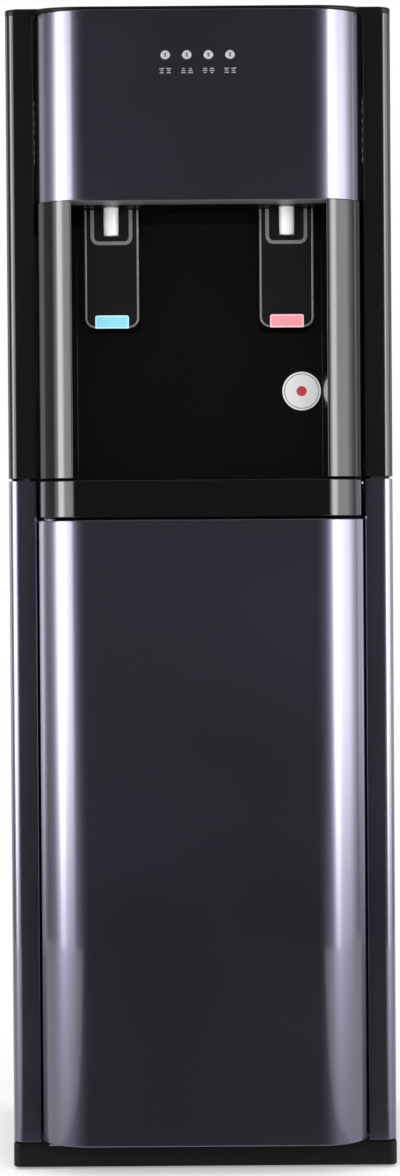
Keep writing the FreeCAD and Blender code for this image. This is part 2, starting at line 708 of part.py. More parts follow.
def recess_liner():
    """One gloss moulding: two curved columns, the recess's side walls and its back wall."""
    z = (upper_bottom, recess_top)
    through = (z[0] - far, z[1] + far)
    wall = recess_half + mm.moulding
    outer = bulge("liner_outer", column_half, 0, liner_rear, z)
    recess = block("liner_recess", both(recess_half), (crown - far, recess_rear), through)
    edge = plain(recess_half)
    columns = rounded("liner_columns", cut("liner_solid", outer, recess), mm.edge_round,
                      lambda item: upright(item) and abs(abs(item.Vertexes[0].X) - edge) < NEAR
                      and item.Vertexes[0].Y < plain(front))
    inner = bulge("liner_inner", column_half, mm.moulding, liner_rear + far, through)
    walls = block("liner_walls", both(wall), (crown - far * 2, liner_rear), (z[0] - far * 2, z[1] + far * 2))
    hollow = cut("liner_hollow", inner, walls)
    sides = lugs("liner", column_half - mm.moulding / 2, (jamb_rear - mm.lug_depth, jamb_rear),
                 (upper_bottom + mm.lug_height, recess_top - mm.lug_height * 2))
    keep("recess_liner", fuse("liner", cut("liner_shell", columns, hollow), *sides))


def recess_badge():
    start = (recess_half - mm.badge_inset, recess_rear - mm.badge_sheet, mm.badge_height)
    keep("recess_badge", rod("badge", "y", mm.badge_radius, start, mm.badge_sheet))


def head_underplate():
    """The ceiling of the recess: it carries the nozzles and the ears of both paddles."""
    z = (recess_top, recess_top + mm.under_sheet)
    y = (crown + mm.head_flange + mm.touch_gap, liner_rear)
    plate = block("under_plate", both(column_half), y, z)
    solids = [plate]
    holes = []
    slot_y = (-mm.paddle_front - mm.rib_proud - mm.ear_gap, paddle_back + mm.swing_room)
    slot_width = mm.neck_width + mm.ear_gap * 2
    for name, side in tap_sides.items():
        slot = block(name + "_slot", centred(side, slot_width), slot_y, (z[0] - far, z[1] + far))
        hole = rod(name + "_nozzle_hole", "z", mm.nozzle_radius + mm.run_fit,
                   (side, -mm.nozzle_front, z[0] - far), far * 2)
        bore = rod(name + "_ear_bore", "x", mm.pin_radius + mm.pin_fit,
                   (side - mm.paddle_width, pivot_y, pivot_z), mm.paddle_width * 2)
        for end in (-1, 1):
            low = side + end * (ear_inner + mm.ear_sheet / 2)
            solids.append(block(f"{name}_ear_{end + 1}", centred(low, mm.ear_sheet),
                                centred(pivot_y, mm.ear_depth), (z[1], z[1] + mm.ear_height)))
        holes += [slot, hole, bore]
    keep("head_underplate", cut("underplate", fuse("underplate_solid", *solids), *holes))


# ---------------------------------------------------------------- taps

def panel_on(name, side, width, z, depth, proud, corners):
    """A flat piece on the paddle's front: it starts at one depth and stands proud of it."""
    x = centred(side, width)
    points = [(x[0], z[0]), (x[1], z[0]), (x[1], z[1]), (x[0], z[1])]
    return outline(name, "y", points, depth, proud, corners)


def u_band(name, side, width, band, z, proud, radius):
    """A raised U: its two legs run to the top and its bottom corners are round."""
    ends = [(0, radius), (1, radius)]
    face = -mm.paddle_front
    outer = panel_on(name + "_outer", side, width, z, face, proud, ends)
    ends = [(0, radius - band), (1, radius - band)]
    inner_z = (z[0] + band, z[1] + band)
    inner = panel_on(name + "_inner", side, width - band * 2, inner_z, face, proud * 2, ends)
    return cut(name, outer, inner)


def paddle(name, side):
    face = -mm.paddle_front
    x = centred(side, mm.paddle_width)
    neck = centred(side, mm.neck_width)
    points = [
        (x[0], paddle_bottom), (x[1], paddle_bottom), (x[1], shoulder), (neck[1], shoulder),
        (neck[1], neck_top), (neck[0], neck_top), (neck[0], shoulder), (x[0], shoulder),
    ]
    ends = [(0, mm.paddle_round), (1, mm.paddle_round)]
    plate = outline(name + "_plate", "y", points, paddle_back, mm.paddle_sheet, ends)
    bead = u_band(name + "_bead", side, mm.paddle_width, mm.bead_width, (paddle_bottom, shoulder),
                  mm.bead_proud, mm.paddle_round)
    tab_room = block(name + "_tab_room", centred(side, mm.tab_width), (face - mm.tab_proud, face),
                     (paddle_bottom - far, paddle_bottom + mm.tab_height))
    rib_bottom = recess_top - mm.rib_drop
    rib = u_band(name + "_rib", side, mm.rib_width, mm.rib_band, (rib_bottom, shoulder - mm.rib_top),
                 mm.rib_proud, mm.rib_round)
    hub = rod(name + "_hub", "x", mm.hub_radius, (side - mm.hub_left, pivot_y, pivot_z),
              mm.hub_left + mm.hub_right)
    bore = rod(name + "_bore", "x", mm.pin_radius + mm.run_fit, (side - mm.paddle_width, pivot_y, pivot_z),
               mm.paddle_width * 2)
    solid = fuse(name + "_solid", plate, cut(name + "_open_bead", bead, tab_room), rib, hub)
    keep(name + "_paddle", cut(name + "_bored", solid, bore))


def tab(name, side):
    z = (paddle_bottom, paddle_bottom + mm.tab_height)
    ends = [(2, mm.tab_round), (3, mm.tab_round)]
    insert = panel_on(name + "_insert", side, mm.tab_width, z, -mm.paddle_front, mm.tab_proud, ends)
    keep(name + "_tab", insert)


def nozzle(name, side):
    y = -mm.nozzle_front
    bottom = recess_top - mm.nozzle_drop
    seat = recess_top + mm.under_sheet
    spout = rod(name + "_spout", "z", mm.nozzle_radius, (side, y, bottom), seat - bottom)
    flange = rod(name + "_spout_flange", "z", mm.nozzle_flange, (side, y, seat), mm.flange_sheet)
    barb = rod(name + "_spout_barb", "z", mm.hose_radius, (side, y, seat), mm.barb_height)
    bore = rod(name + "_spout_bore", "z", mm.nozzle_bore, (side, y, bottom), mm.nozzle_drop)
    keep(name + "_nozzle", cut(name + "_spout_bored", fuse(name + "_spout_solid", spout, flange, barb), bore))


def paddle_pins():
    reach = ear_inner + mm.ear_sheet + mm.ear_gap
    pins = [
        rod(f"{name}_pin", "x", mm.pin_radius, (side - reach, pivot_y, pivot_z), reach * 2)
        for name, side in tap_sides.items()
    ]
    keep("paddle_pins", fuse("pins", *pins))


def return_spring(name, side):
    """A short coil of wire round the pin, beside the paddle's hub."""
    pitch = plain(mm.spring_pitch)
    coil = Part.makeHelix(pitch, pitch * plain(mm.spring_turns), plain(mm.spring_radius))
    start = Vector(plain(mm.spring_radius), 0, 0)
    ring = Part.Wire(Part.Circle(start, Vector(0, 1, 0), plain(mm.spring_wire) / 2).toShape())
    solid = Part.Wire(coil.Edges).makePipeShell([ring], True, True)
    x = plain(side + mm.hub_right + mm.spring_wire)
    seat = Placement(Vector(x, plain(pivot_y), plain(pivot_z)), TURN["x"])
    feature(name + "_return_spring", solid, seat)


def tap_microswitches():
    base = recess_top + mm.under_sheet
    y = paddle_back + mm.swing_room - mm.ear_gap
    bodies = [
        block(f"{name}_microswitch", centred(side, mm.switch_width), (y, y + mm.switch_depth),
              (base, base + mm.switch_height))
        for name, side in tap_sides.items()
    ]
    keep("tap_microswitches", fuse("microswitches", *bodies))


# ---------------------------------------------------------------- drip tray

def tray_housing():
    floor = block("housing_floor", both(column_half), (deck_front, housing_rear),
                  (deck_top, housing_floor_top))
    z = (housing_floor_top, upper_bottom)
    rail = tray_half + mm.band_gap
    solids = [floor, block("housing_back", both(rail), (recess_rear, housing_rear), z)]
    cavities = []
    wall = mm.housing_sheet
    for side in (-1, 1):
        x = (rail, column_half) if side > 0 else (-column_half, -rail)
        y = (front + mm.bend_radius, housing_rear)
        solids.append(block(f"housing_rail_{side + 1}", x, y, z))
        cavities.append(block(f"housing_cavity_{side + 1}", (x[0] + wall, x[1] - wall),
                              (y[0] + wall, y[1] + far), (z[0], z[1] - wall)))
    cavities.append(hinge_notch("housing_notch", (deck_top, deck_top + mm.hinge_plate + mm.touch_gap)))
    keep("tray_housing", cut("housing", fuse("housing_solid", *solids), *cavities))


def drip_tray():
    skin = mm.skin
    z = (mm.band_bottom, lower_top)
    outer = bulge("band_outer", column_half, 0, front, z)
    inner = bulge("band_inner", column_half, skin, front + far, (z[0] + skin, z[1] - skin))
    band = cut("band", outer, inner)
    wall = mm.tray_wall
    y = (front - skin, basin_rear)
    base = housing_floor_top + mm.touch_gap
    basin = block("basin_outer", both(tray_half), y, (base, basin_top))
    hollow = block("basin_hollow", both(tray_half - wall), (y[0] + wall, y[1] - wall),
                   (base + wall, basin_top + far))
    keep("drip_tray", fuse("tray", cut("basin", basin, hollow), band))


def drip_grille():
    half_width = tray_half - mm.tray_wall / 4
    y = (front + mm.touch_gap, basin_rear - mm.touch_gap)
    plate = block("grille_plate", both(half_width), y, (basin_top, lower_top))
    inner = tray_half - mm.tray_wall - mm.touch_gap
    skirt_z = (basin_top - mm.grille_sheet, basin_top)
    skirt_y = (front + mm.tray_wall, basin_rear - mm.tray_wall - mm.touch_gap)
    room_y = (skirt_y[0] + mm.tray_wall, skirt_y[1] - mm.tray_wall)
    skirt = cut(
        "grille_skirt",
        block("skirt_outer", both(inner), skirt_y, skirt_z),
        block("skirt_inner", both(inner - mm.tray_wall), room_y, (skirt_z[0] - far, skirt_z[1] + far)),
    )
    count = int(plain(half_width - mm.grille_rim) * 2 / plain(mm.grille_pitch))
    slot_y = (y[0] + mm.grille_rim, y[1] - mm.grille_rim)
    slots = [
        block(f"grille_slot_{number}", centred(mm.grille_pitch * (number - (count - 1) / 2), mm.grille_slot),
              slot_y, (basin_top - far, lower_top + far))
        for number in range(count)
    ]
    keep("drip_grille", cut("grille", fuse("grille_solid", plate, skirt), *slots))


# ---------------------------------------------------------------- door and hinge

def hinge_bores(name, z):
    return rod(name, "z", mm.hinge_pin + mm.run_fit, (hinge_x, hinge_y, z[0]), z[1] - z[0])


def door_skin():
    z = (mm.door_bottom, mm.door_top)
    skin = mm.skin
    outer = bulge("door_outer", door_half, 0, door_back, z)
    inner = bulge("door_inner", door_half, skin, door_back + far, (z[0] + skin, z[1] - skin))
    bore = hinge_bores("skin_bore", (z[0] - far, z[1] + far))
    keep("door_skin", cut("skin", cut("skin_shell", outer, inner), bore))


def door_liner():
    skin = mm.skin
    x = both(door_half - skin)
    z = (mm.door_bottom + skin, mm.door_top - skin)
    sheet_y = (door_back - mm.liner_sheet, door_back)
    plate = block("liner_plate", x, sheet_y, z)
    solids = [plate]
    for name, low in (("low", z[0]), ("high", z[1] - mm.boss_height)):
        solids.append(rod(f"boss_{name}", "z", mm.hinge_boss, (hinge_x, hinge_y, low), mm.boss_height))
        solids.append(block(f"boss_web_{name}", centred(hinge_x, mm.hinge_boss), (hinge_y, sheet_y[0]),
                            (low, low + mm.boss_height)))
    bore = hinge_bores("boss_bore", (z[0] - far, z[1] + far))
    keep("door_liner", cut("liner_bored", fuse("liner_solid_plate", *solids), bore))


def hinge_plates():
    """Two thin plates in the gaps over and under the door, each with its pin riveted in."""
    y = (hinge_y - mm.hinge_boss, plate_rear)
    low = (plinth_top, plinth_top + mm.hinge_plate)
    high = (deck_top, deck_top + mm.hinge_plate)
    reach = mm.skin + mm.boss_height - mm.band_gap
    pins = [
        rod("pin_low", "z", mm.hinge_pin, (hinge_x, hinge_y, low[0]), mm.door_bottom + reach - low[0]),
        rod("pin_high", "z", mm.hinge_pin, (hinge_x, hinge_y, mm.door_top - reach),
            high[1] - mm.door_top + reach),
    ]
    plates = [block("plate_low", plate_x, y, low), block("plate_high", plate_x, y, high)]
    keep("hinge_plates", fuse("hinges", *pins, *plates))


def door_magnet():
    side = door_half - mm.skin - mm.magnet_inset
    x = (side - mm.magnet_width, side)
    y = (door_back - mm.liner_sheet - mm.magnet_depth, door_back - mm.liner_sheet)
    keep("door_magnet", block("magnet", x, y, centred(mm.magnet_level, mm.magnet_height)))


def door_switch():
    x = (jamb_half - mm.reed_width, jamb_half)
    y = (door_back + mm.band_gap, door_back + mm.band_gap + mm.reed_depth)
    keep("door_switch", block("reed", x, y, centred(mm.magnet_level, mm.magnet_height)))


# ---------------------------------------------------------------- cold side

def cold_tank():
    base = deck_top + mm.foam_base
    spot = (-tank_side, tank_rear)
    outer = rod("tank_outer", "z", mm.tank_radius, (*spot, base), mm.tank_height)
    room = rod("tank_room", "z", mm.tank_radius - mm.tank_sheet, (*spot, base + mm.tank_sheet),
               mm.tank_height)
    wall = mm.tank_radius - mm.tank_sheet
    port = rod("tank_port", "x", mm.hose_radius, (spot[0] + wall, spot[1], mm.feed_level),
               mm.foam_radius - wall + mm.port_length)
    keep("cold_tank", fuse("tank", cut("tank_shell", outer, room), port))


def beside_recess(name, solid):
    """Cut flat where the recess moulding would stand in the way."""
    room = block(name + "_clear", both(half), (front - far, liner_rear + mm.touch_gap),
                 (deck_top - far, tank_top + far))
    return cut(name, solid, room)


def cold_tank_foam():
    base = deck_top + mm.foam_base
    gap = mm.touch_gap
    spot = (-tank_side, tank_rear)
    outer = rod("foam_outer", "z", mm.foam_radius, (*spot, deck_top), mm.foam_base + mm.tank_height)
    room = rod("foam_room", "z", mm.tank_radius + gap, (*spot, base), far)
    pocket = block("foam_pocket", centred(spot[0], mm.block_width + gap * 2), (spot[1], spot[1] + far),
                   centred(mm.fan_level, mm.block_width + gap * 2))
    port = rod("foam_port", "x", mm.hose_radius + gap, (*spot, mm.feed_level), far)
    keep("cold_tank_foam", cut("foam", beside_recess("foam_flat", outer), room, pocket, port))


def tank_lid():
    lid = rod("lid", "z", mm.foam_radius, (-tank_side, tank_rear, tank_top), mm.lid_height)
    stubs = [
        rod(f"lid_stub_{number}", "z", mm.hose_radius, (*spot, tank_top + mm.lid_height), mm.stub_height)
        for number, spot in enumerate((fill_spot, draw_spot))
    ]
    keep("tank_lid", fuse("lid_and_stubs", beside_recess("lid_flat", lid), *stubs))


def cooling_stack():
    """The cold block, the thermoelectric cell and the heat sink, one behind the other."""
    x = -tank_side
    wide = centred(x, mm.block_width)
    tall = centred(mm.fan_level, mm.block_width)
    blank = block("block_blank", wide, (tank_rear, cell_front), tall)
    saddle = rod("block_saddle", "z", mm.tank_radius, (x, tank_rear, deck_top), far * 2)
    keep("cold_block", cut("block_cut", blank, saddle))
    keep("peltier_module", block("cell", centred(x, mm.cell_width), (cell_front, sink_front),
                                 centred(mm.fan_level, mm.cell_width)))
    fins_front = sink_front + mm.sink_base
    tall = centred(mm.fan_level, mm.sink_width)
    solids = [block("sink_base", centred(x, mm.sink_width), (sink_front, fins_front), tall)]
    count = int(SIZES["fin_count"])
    for number in range(count):
        middle = x + (mm.sink_width - mm.fin_sheet) * (number / (count - 1) - 0.5)
        solids.append(block(f"fin_{number}", centred(middle, mm.fin_sheet), (fins_front, fan_front), tall))
    keep("heat_sink", fuse("sink", *solids))


def fan_frame():
    x = -tank_side
    z = mm.fan_level
    width = mm.fan_width
    frame = block("fan_square", centred(x, width), (fan_front, fan_front + mm.fan_depth), centred(z, width))
    tunnel = rod("fan_tunnel", "y", mm.fan_tip + mm.fan_tip_gap, (x, fan_front - far, z), far * 2)
    y = (fan_front + mm.fan_depth - mm.spider_sheet, fan_front + mm.fan_depth)
    arms = [
        block("arm_level", centred(x, width - mm.spider_width), y, centred(z, mm.spider_width)),
        block("arm_upright", centred(x, mm.spider_width), y, centred(z, width - mm.spider_width)),
        rod("arm_hub", "y", mm.fan_hub, (x, y[0], z), mm.spider_sheet),
    ]
    bore = rod("arm_bore", "y", mm.shaft_radius + mm.run_fit, (x, fan_front - far, z), far * 2)
    keep("fan_frame", cut("fan_bored", fuse("fan_solid", cut("fan_ring", frame, tunnel), *arms), bore))


def fan_rotor():
    """A hub with pitched blades, and the shaft that turns in the frame's spider."""
    depth = plain(mm.fan_depth - mm.spider_sheet * 2)
    hub_radius = plain(mm.fan_hub)
    chord = plain(mm.blade_chord)
    thickness = plain(mm.blade_sheet)
    along = Vector(0, 1, 0)
    origin = Vector()
    rotor = Part.makeCylinder(hub_radius, depth, origin, along)
    shaft = Part.makeCylinder(plain(mm.shaft_radius), plain(mm.fan_depth - mm.spider_sheet), origin, along)
    rotor = rotor.fuse(shaft)
    root = hub_radius - thickness
    count = int(SIZES["fan_blades"])
    for number in range(count):
        foot = Vector(-thickness / 2, -chord / 2, root)
        blade = Part.makeBox(thickness, chord, plain(mm.fan_tip) - root, foot)
        blade.rotate(origin, Vector(0, 0, 1), plain(mm.blade_pitch))
        blade.translate(Vector(0, depth / 2, 0))
        blade.rotate(origin, along, 360 * number / count)
        rotor = rotor.fuse(blade)
    start = fan_front + mm.spider_sheet - mm.ear_gap
    rotor.translate(Vector(-plain(tank_side), plain(start), plain(mm.fan_level)))
    feature("fan_rotor", rotor.removeSplitter())


# ---------------------------------------------------------------- hot side, pump and power

def hot_tank():
    base = deck_top + mm.boiler_base
    spot = (mm.boiler_side, mm.boiler_rear)
    outer = rod("boiler_outer", "z", mm.boiler_radius, (*spot, base), mm.boiler_height)
    room = rod("boiler_room", "z", mm.boiler_radius - mm.tank_sheet, (*spot, base + mm.tank_sheet),
               mm.boiler_height - mm.tank_sheet * 2)
    reach = mm.stub_height + mm.tank_sheet
    top = base + mm.boiler_height - mm.tank_sheet
    solids = [cut("boiler_shell", outer, room)]
    solids.append(rod("boiler_stub_top", "z", mm.hose_radius, (*spot, top), reach))
    for name, x in (("feed", mm.boiler_side - mm.boiler_port), ("drain", mm.boiler_side + mm.boiler_port)):
        start = (x, mm.boiler_rear, base - mm.stub_height)
        solids.append(rod(f"boiler_stub_{name}", "z", mm.hose_radius, start, reach))
    circle = mm.boiler_radius - mm.leg_radius * 2
    for number, angle in enumerate((90, 210, 330)):
        x = mm.boiler_side + circle * math.cos(math.radians(angle))
        y = mm.boiler_rear + circle * math.sin(math.radians(angle))
        solids.append(rod(f"boiler_leg_{number}", "z", mm.leg_radius, (x, y, deck_top),
                          mm.boiler_base + mm.tank_sheet))
    keep("hot_tank", fuse("boiler", *solids))


def band_heater():
    low = deck_top + mm.boiler_base + mm.heater_lift
    spot = (mm.boiler_side, mm.boiler_rear, low)
    inner = mm.boiler_radius + mm.run_fit
    outer = rod("heater_outer", "z", inner + mm.heater_sheet, spot, mm.heater_height)
    room = rod("heater_room", "z", inner, spot, mm.heater_height)
    face = mm.boiler_rear - inner
    box = block("heater_box", centred(mm.boiler_side, mm.relay_size),
                (face - mm.relay_size / 2, face + mm.heater_sheet / 2),
                centred(low + mm.heater_height / 2, mm.relay_size))
    keep("band_heater", cut("heater", fuse("heater_solid", outer, box), room))


def water_pump():
    level = deck_top + mm.pump_lift
    y = pump_rear
    head_x = (mm.pump_side - mm.pump_head, mm.pump_side)
    solids = [
        rod("pump_motor", "x", mm.pump_radius, (mm.pump_side, y, level), mm.pump_length),
        block("pump_block", head_x, centred(y, mm.pump_radius * 2), centred(level, mm.pump_radius * 2)),
        block("pump_saddle", centred(mm.pump_side + mm.pump_length / 2, mm.pump_head),
              centred(y, mm.pump_radius), (deck_top, level)),
        block("pump_foot", (head_x[0], mm.pump_side + mm.pump_length), centred(y, mm.pump_radius * 2),
              (deck_top, deck_top + mm.housing_sheet)),
    ]
    for number, end in enumerate((-1, 1)):
        start = (head_x[0] - mm.port_length, y + end * mm.port_pitch / 2, level)
        solids.append(rod(f"pump_port_{number}", "x", mm.hose_radius, start, mm.port_length))
    keep("water_pump", fuse("pump", *solids))


def power_supply():
    x = (inner_half - mm.supply_width, inner_half)
    y = (rear - mm.supply_inset - mm.supply_depth, rear - mm.supply_inset)
    z = (mm.supply_level, mm.supply_level + mm.supply_height)
    case = block("supply_case", x, y, z)
    vent_x = (x[0] - mm.slot_height, x[0] + mm.sheet)
    vent_y = (y[0] + mm.slot_pitch, y[1] - mm.slot_pitch)
    count = int(plain(mm.supply_height) / plain(mm.slot_pitch)) - 2
    vents = []
    for number in range(count):
        middle = (z[0] + z[1]) / 2 + mm.slot_pitch * (number - (count - 1) / 2)
        vents.append(block(f"supply_vent_{number}", vent_x, vent_y, centred(middle, mm.slot_height)))
    keep("power_supply", cut("supply", case, *vents))


def water_hoses():
    """Six hoses between the fittings, each one a tube of straight runs and tangent arcs."""
    level = deck_top + mm.pump_lift
    port_x = mm.pump_side - mm.pump_head - mm.port_length
    ports = [pump_rear + end * mm.port_pitch / 2 for end in (-1, 1)]
    lid_top = tank_top + mm.lid_height + mm.stub_height
    boiler_low = deck_top + mm.boiler_base - mm.stub_height
    boiler_high = deck_top + mm.boiler_base + mm.boiler_height + mm.stub_height
    nozzle_top = recess_top + mm.under_sheet + mm.barb_height
    riser = port_x - mm.riser_setback
    tank_port = -tank_side + mm.foam_radius + mm.port_length
    drain_end = rear - mm.drain_inside
    feed_x = mm.boiler_side - mm.boiler_port
    drain_x = mm.boiler_side + mm.boiler_port
    nozzle_y = -mm.nozzle_front
    fill_level = lid_top + mm.fill_rise
    draw_level = max(plain(lid_top), plain(boiler_high), plain(nozzle_top)) + plain(mm.draw_rise)
    routes = [
        [(mm.gland_side, gland_rear, deck_top + mm.gland_stub), (mm.gland_side, gland_rear, level),
         (riser, ports[1], level), (port_x, ports[1], level)],
        [(port_x, ports[0], level), (riser, ports[0], level), (riser, ports[0], fill_level),
         (*fill_spot, fill_level), (*fill_spot, lid_top)],
        [(*draw_spot, lid_top), (*draw_spot, draw_level), (-tap_side, nozzle_y, draw_level),
         (-tap_side, nozzle_y, nozzle_top)],
        [(mm.boiler_side, mm.boiler_rear, boiler_high), (mm.boiler_side, mm.boiler_rear, draw_level),
         (tap_side, nozzle_y, draw_level), (tap_side, nozzle_y, nozzle_top)],
        [(tank_port, tank_rear, mm.feed_level), (tank_port + mm.feed_run, tank_rear, mm.feed_level),
         (feed_x, mm.boiler_rear, mm.feed_level), (feed_x, mm.boiler_rear, boiler_low)],
        [(drain_x, mm.boiler_rear, boiler_low), (drain_x, mm.boiler_rear, mm.drain_level),
         (drain_side, mm.boiler_rear + mm.drain_run, mm.drain_level),
         (drain_side, drain_end, mm.drain_level)],
    ]
    hoses = [tube(route, mm.hose_radius, mm.hose_bend) for route in routes]
    feature("water_hoses", Part.makeCompound(hoses))


# ---------------------------------------------------------------- bottle probe

def bottle_probe():
    spot = (probe_side, probe_rear)
    top = mm.collar_bottom + mm.collar_height
    stem = rod("probe_stem", "z", mm.probe_radius, (*spot, mm.probe_bottom), top - mm.probe_bottom)
    foot = rod("probe_foot", "z", mm.foot_radius, (*spot, mm.probe_bottom), mm.foot_height)
    elbow = block("probe_elbow", centred(spot[0], mm.probe_radius * 2), centred(spot[1], mm.probe_radius * 2),
                  (top, top + mm.elbow_height))
    barb = rod("probe_barb", "x", mm.hose_radius, (barb_end, spot[1], barb_level), spot[0] - barb_end)
    bore = rod("probe_bore", "z", mm.probe_radius - mm.moulding, (*spot, mm.probe_bottom),
               top - mm.probe_bottom)
    slots = []
    for number in range(int(plain(mm.foot_height) / plain(mm.slot_height) / 2) + 1):
        low = mm.probe_bottom + mm.slot_height * (2 * number + 1) / 2
        slots.append(block(f"probe_slot_{number}", centred(spot[0], mm.foot_radius * 3),
                           centred(spot[1], mm.slot_height / 2), (low, low + mm.slot_height)))
    keep("bottle_probe", cut("probe", fuse("probe_solid", stem, foot, elbow, barb), bore, *slots))


def probe_collar():
    spot = (probe_side, probe_rear, mm.collar_bottom)
    cap = rod("collar_cap", "z", mm.collar_radius, spot, mm.collar_height)
    room = rod("collar_room", "z", mm.probe_radius + mm.pin_fit, spot, mm.collar_height)
    under = rod("collar_under", "z", mm.collar_radius - mm.moulding, spot, mm.collar_height - mm.moulding * 2)
    boss = rod("collar_boss", "z", mm.probe_radius + mm.moulding, spot, mm.collar_height)
    shell = fuse("collar_solid", cut("collar_shell", cap, under), boss)
    keep("probe_collar", cut("collar", shell, room))


def probe_cradle():
    """A shelf that the collar rests on and a clip lower down, both open to the front."""
    gap = mm.touch_gap
    x = (inner_half - mm.cradle_width, inner_half)
    y = (probe_rear - mm.probe_radius - mm.band_gap, flange_inside - mm.plinth_wall)
    slot_x = centred(probe_side, (mm.probe_radius + gap) * 2)
    solids = []
    for name, top in (("shelf", mm.collar_bottom - gap), ("clip", mm.clip_level)):
        plate = block(f"cradle_{name}", x, y, (top - mm.cradle_sheet, top))
        slot = block(f"cradle_{name}_slot", slot_x, (y[0] - far, probe_rear), (top - far, top + far))
        seat = rod(f"cradle_{name}_seat", "z", mm.probe_radius + gap,
                   (probe_side, probe_rear, top - far), far * 2)
        solids.append(cut(f"cradle_{name}_open", plate, slot, seat))
    keep("probe_cradle", fuse("cradle", *solids))


def hose_gland():
    spot = (mm.gland_side, gland_rear)
    elbow = block("gland_elbow", centred(spot[0], mm.gland_size), centred(spot[1], mm.gland_size),
                  (barb_level - mm.gland_size / 2, deck_bottom))
    stub = rod("gland_stub", "z", mm.hose_radius, (*spot, deck_bottom), mm.deck_sheet + mm.gland_stub)
    barb = rod("gland_barb", "x", mm.hose_radius, (spot[0], spot[1], barb_level), gland_end - spot[0])
    keep("hose_gland", fuse("gland", elbow, stub, barb))


def suction_hose():
    span = (gland_end - barb_end).number
    rear_step = (gland_rear - probe_rear).number
    level = barb_level.number
    lowest = mm.hose_sag.number
    points = [
        (barb_end.number + span * along, probe_rear.number + rear_step * back, level - sag)
        for along, back, sag in zip(
            (0, 0.18, 0.38, 0.62, 0.82, 1), (0, 0, 0.35, 0.65, 1, 1), (0, 0, lowest, lowest, 0, 0)
        )
    ]
    feature("suction_hose", tube(points, mm.hose_radius, mm.suction_bend))


# ---------------------------------------------------------------- fittings on the back

def power_inlet():
    x = centred(mm.inlet_side, mm.inlet_width)
    z = centred(mm.inlet_level, mm.inlet_height)
    proud = rear + mm.fitting_proud
    body = block("inlet_body", x, (rear - mm.inlet_depth, rear), z)
    flange = block("inlet_flange_plate", centred(mm.inlet_side, mm.inlet_flange), (rear, proud), z)
    wall = mm.moulding
    room = block("inlet_room", (x[0] + wall, x[1] - wall), (proud - mm.inlet_socket, proud + far),
                 (z[0] + wall, z[1] - wall))
    pin_y = (rear - mm.inlet_socket, rear - mm.contact_setback)
    pins = []
    for number, (step, lift) in enumerate(((-1, -1), (0, 1), (1, -1))):
        pin_x = centred(mm.inlet_side + step * mm.contact_step, mm.contact_sheet)
        pin_z = centred(mm.inlet_level + lift * mm.contact_sheet, mm.contact_width)
        pins.append(block(f"inlet_pin_{number}", pin_x, pin_y, pin_z))
    keep("power_inlet", fuse("inlet", cut("inlet_shell", fuse("inlet_solid", body, flange), room), *pins))


def switch_bezels():
    bezels = []
    wide = mm.rocker_width + mm.rocker_gap * 2
    tall = mm.rocker_height + mm.rocker_gap * 4
    for name, x in rocker_sides.items():
        body = block(f"{name}_body", centred(x, mm.bezel_body_width), (rear - mm.bezel_depth, rear),
                     centred(mm.inlet_level, mm.bezel_body_height))
        flange = block(f"{name}_flange", centred(x, mm.bezel_width), (rear, rear + mm.fitting_proud),
                       centred(mm.inlet_level, mm.bezel_height))
        room = block(f"{name}_room", centred(x, wide), (rear - mm.bezel_depth + mm.moulding, rear + far),
                     centred(mm.inlet_level, tall))
        bore = rod(f"{name}_trunnion_bore", "x", mm.trunnion_radius + mm.run_fit,
                   (x - mm.bezel_body_width / 2, rear, mm.inlet_level), mm.bezel_body_width)
        bezels.append(cut(f"{name}_bezel", fuse(f"{name}_bezel_solid", body, flange), room, bore))
    keep("switch_bezels", fuse("bezels", *bezels))


def rocker(name, x):
    """A rocker that rests with its lower half pressed in; it tips about its trunnions."""
    z = centred(mm.inlet_level, mm.rocker_height)
    points = [
        (rear - mm.rocker_sunk, z[0]), (rear + mm.rocker_low, z[0]),
        (rear + mm.rocker_middle, mm.inlet_level), (rear + mm.rocker_high, z[1]),
        (rear - mm.rocker_sunk, z[1]),
    ]
    button = outline(f"{name}_button", "x", points, x - mm.rocker_width / 2, mm.rocker_width)
    reach = mm.rocker_width / 2 + mm.rocker_gap * 2
    trunnion = rod(f"{name}_trunnion", "x", mm.trunnion_radius, (x - reach, rear, mm.inlet_level), reach * 2)
    keep(f"{name}_switch", fuse(f"{name}_rocker", button, trunnion))


def drain_spout():
    spot = (drain_side, mm.drain_level)
    start = rear - mm.drain_inside
    spout = rod("spout", "y", mm.drain_radius, (spot[0], start, spot[1]), mm.drain_inside + mm.drain_proud)
    flange = rod("spout_flange", "y", mm.drain_flange, (spot[0], rear, spot[1]), mm.flange_sheet)
    nut = rod("spout_nut", "y", mm.drain_flange, (spot[0], rear_inside - mm.nut_height, spot[1]),
              mm.nut_height)
    keep("drain_spout", fuse("spout_solid", spout, flange, nut))


def drain_cap():
    spot = (drain_side, mm.drain_level)
    start = rear + mm.flange_sheet + mm.touch_gap
    cap = rod("cap_outer", "y", mm.cap_radius, (spot[0], start, spot[1]), mm.cap_length)
    room = rod("cap_room", "y", mm.drain_radius + mm.run_fit, (spot[0], start, spot[1]),
               rear + mm.drain_proud + mm.touch_gap - start)
    keep("drain_cap", cut("cap", cap, room))


# ---------------------------------------------------------------- the whole cooler

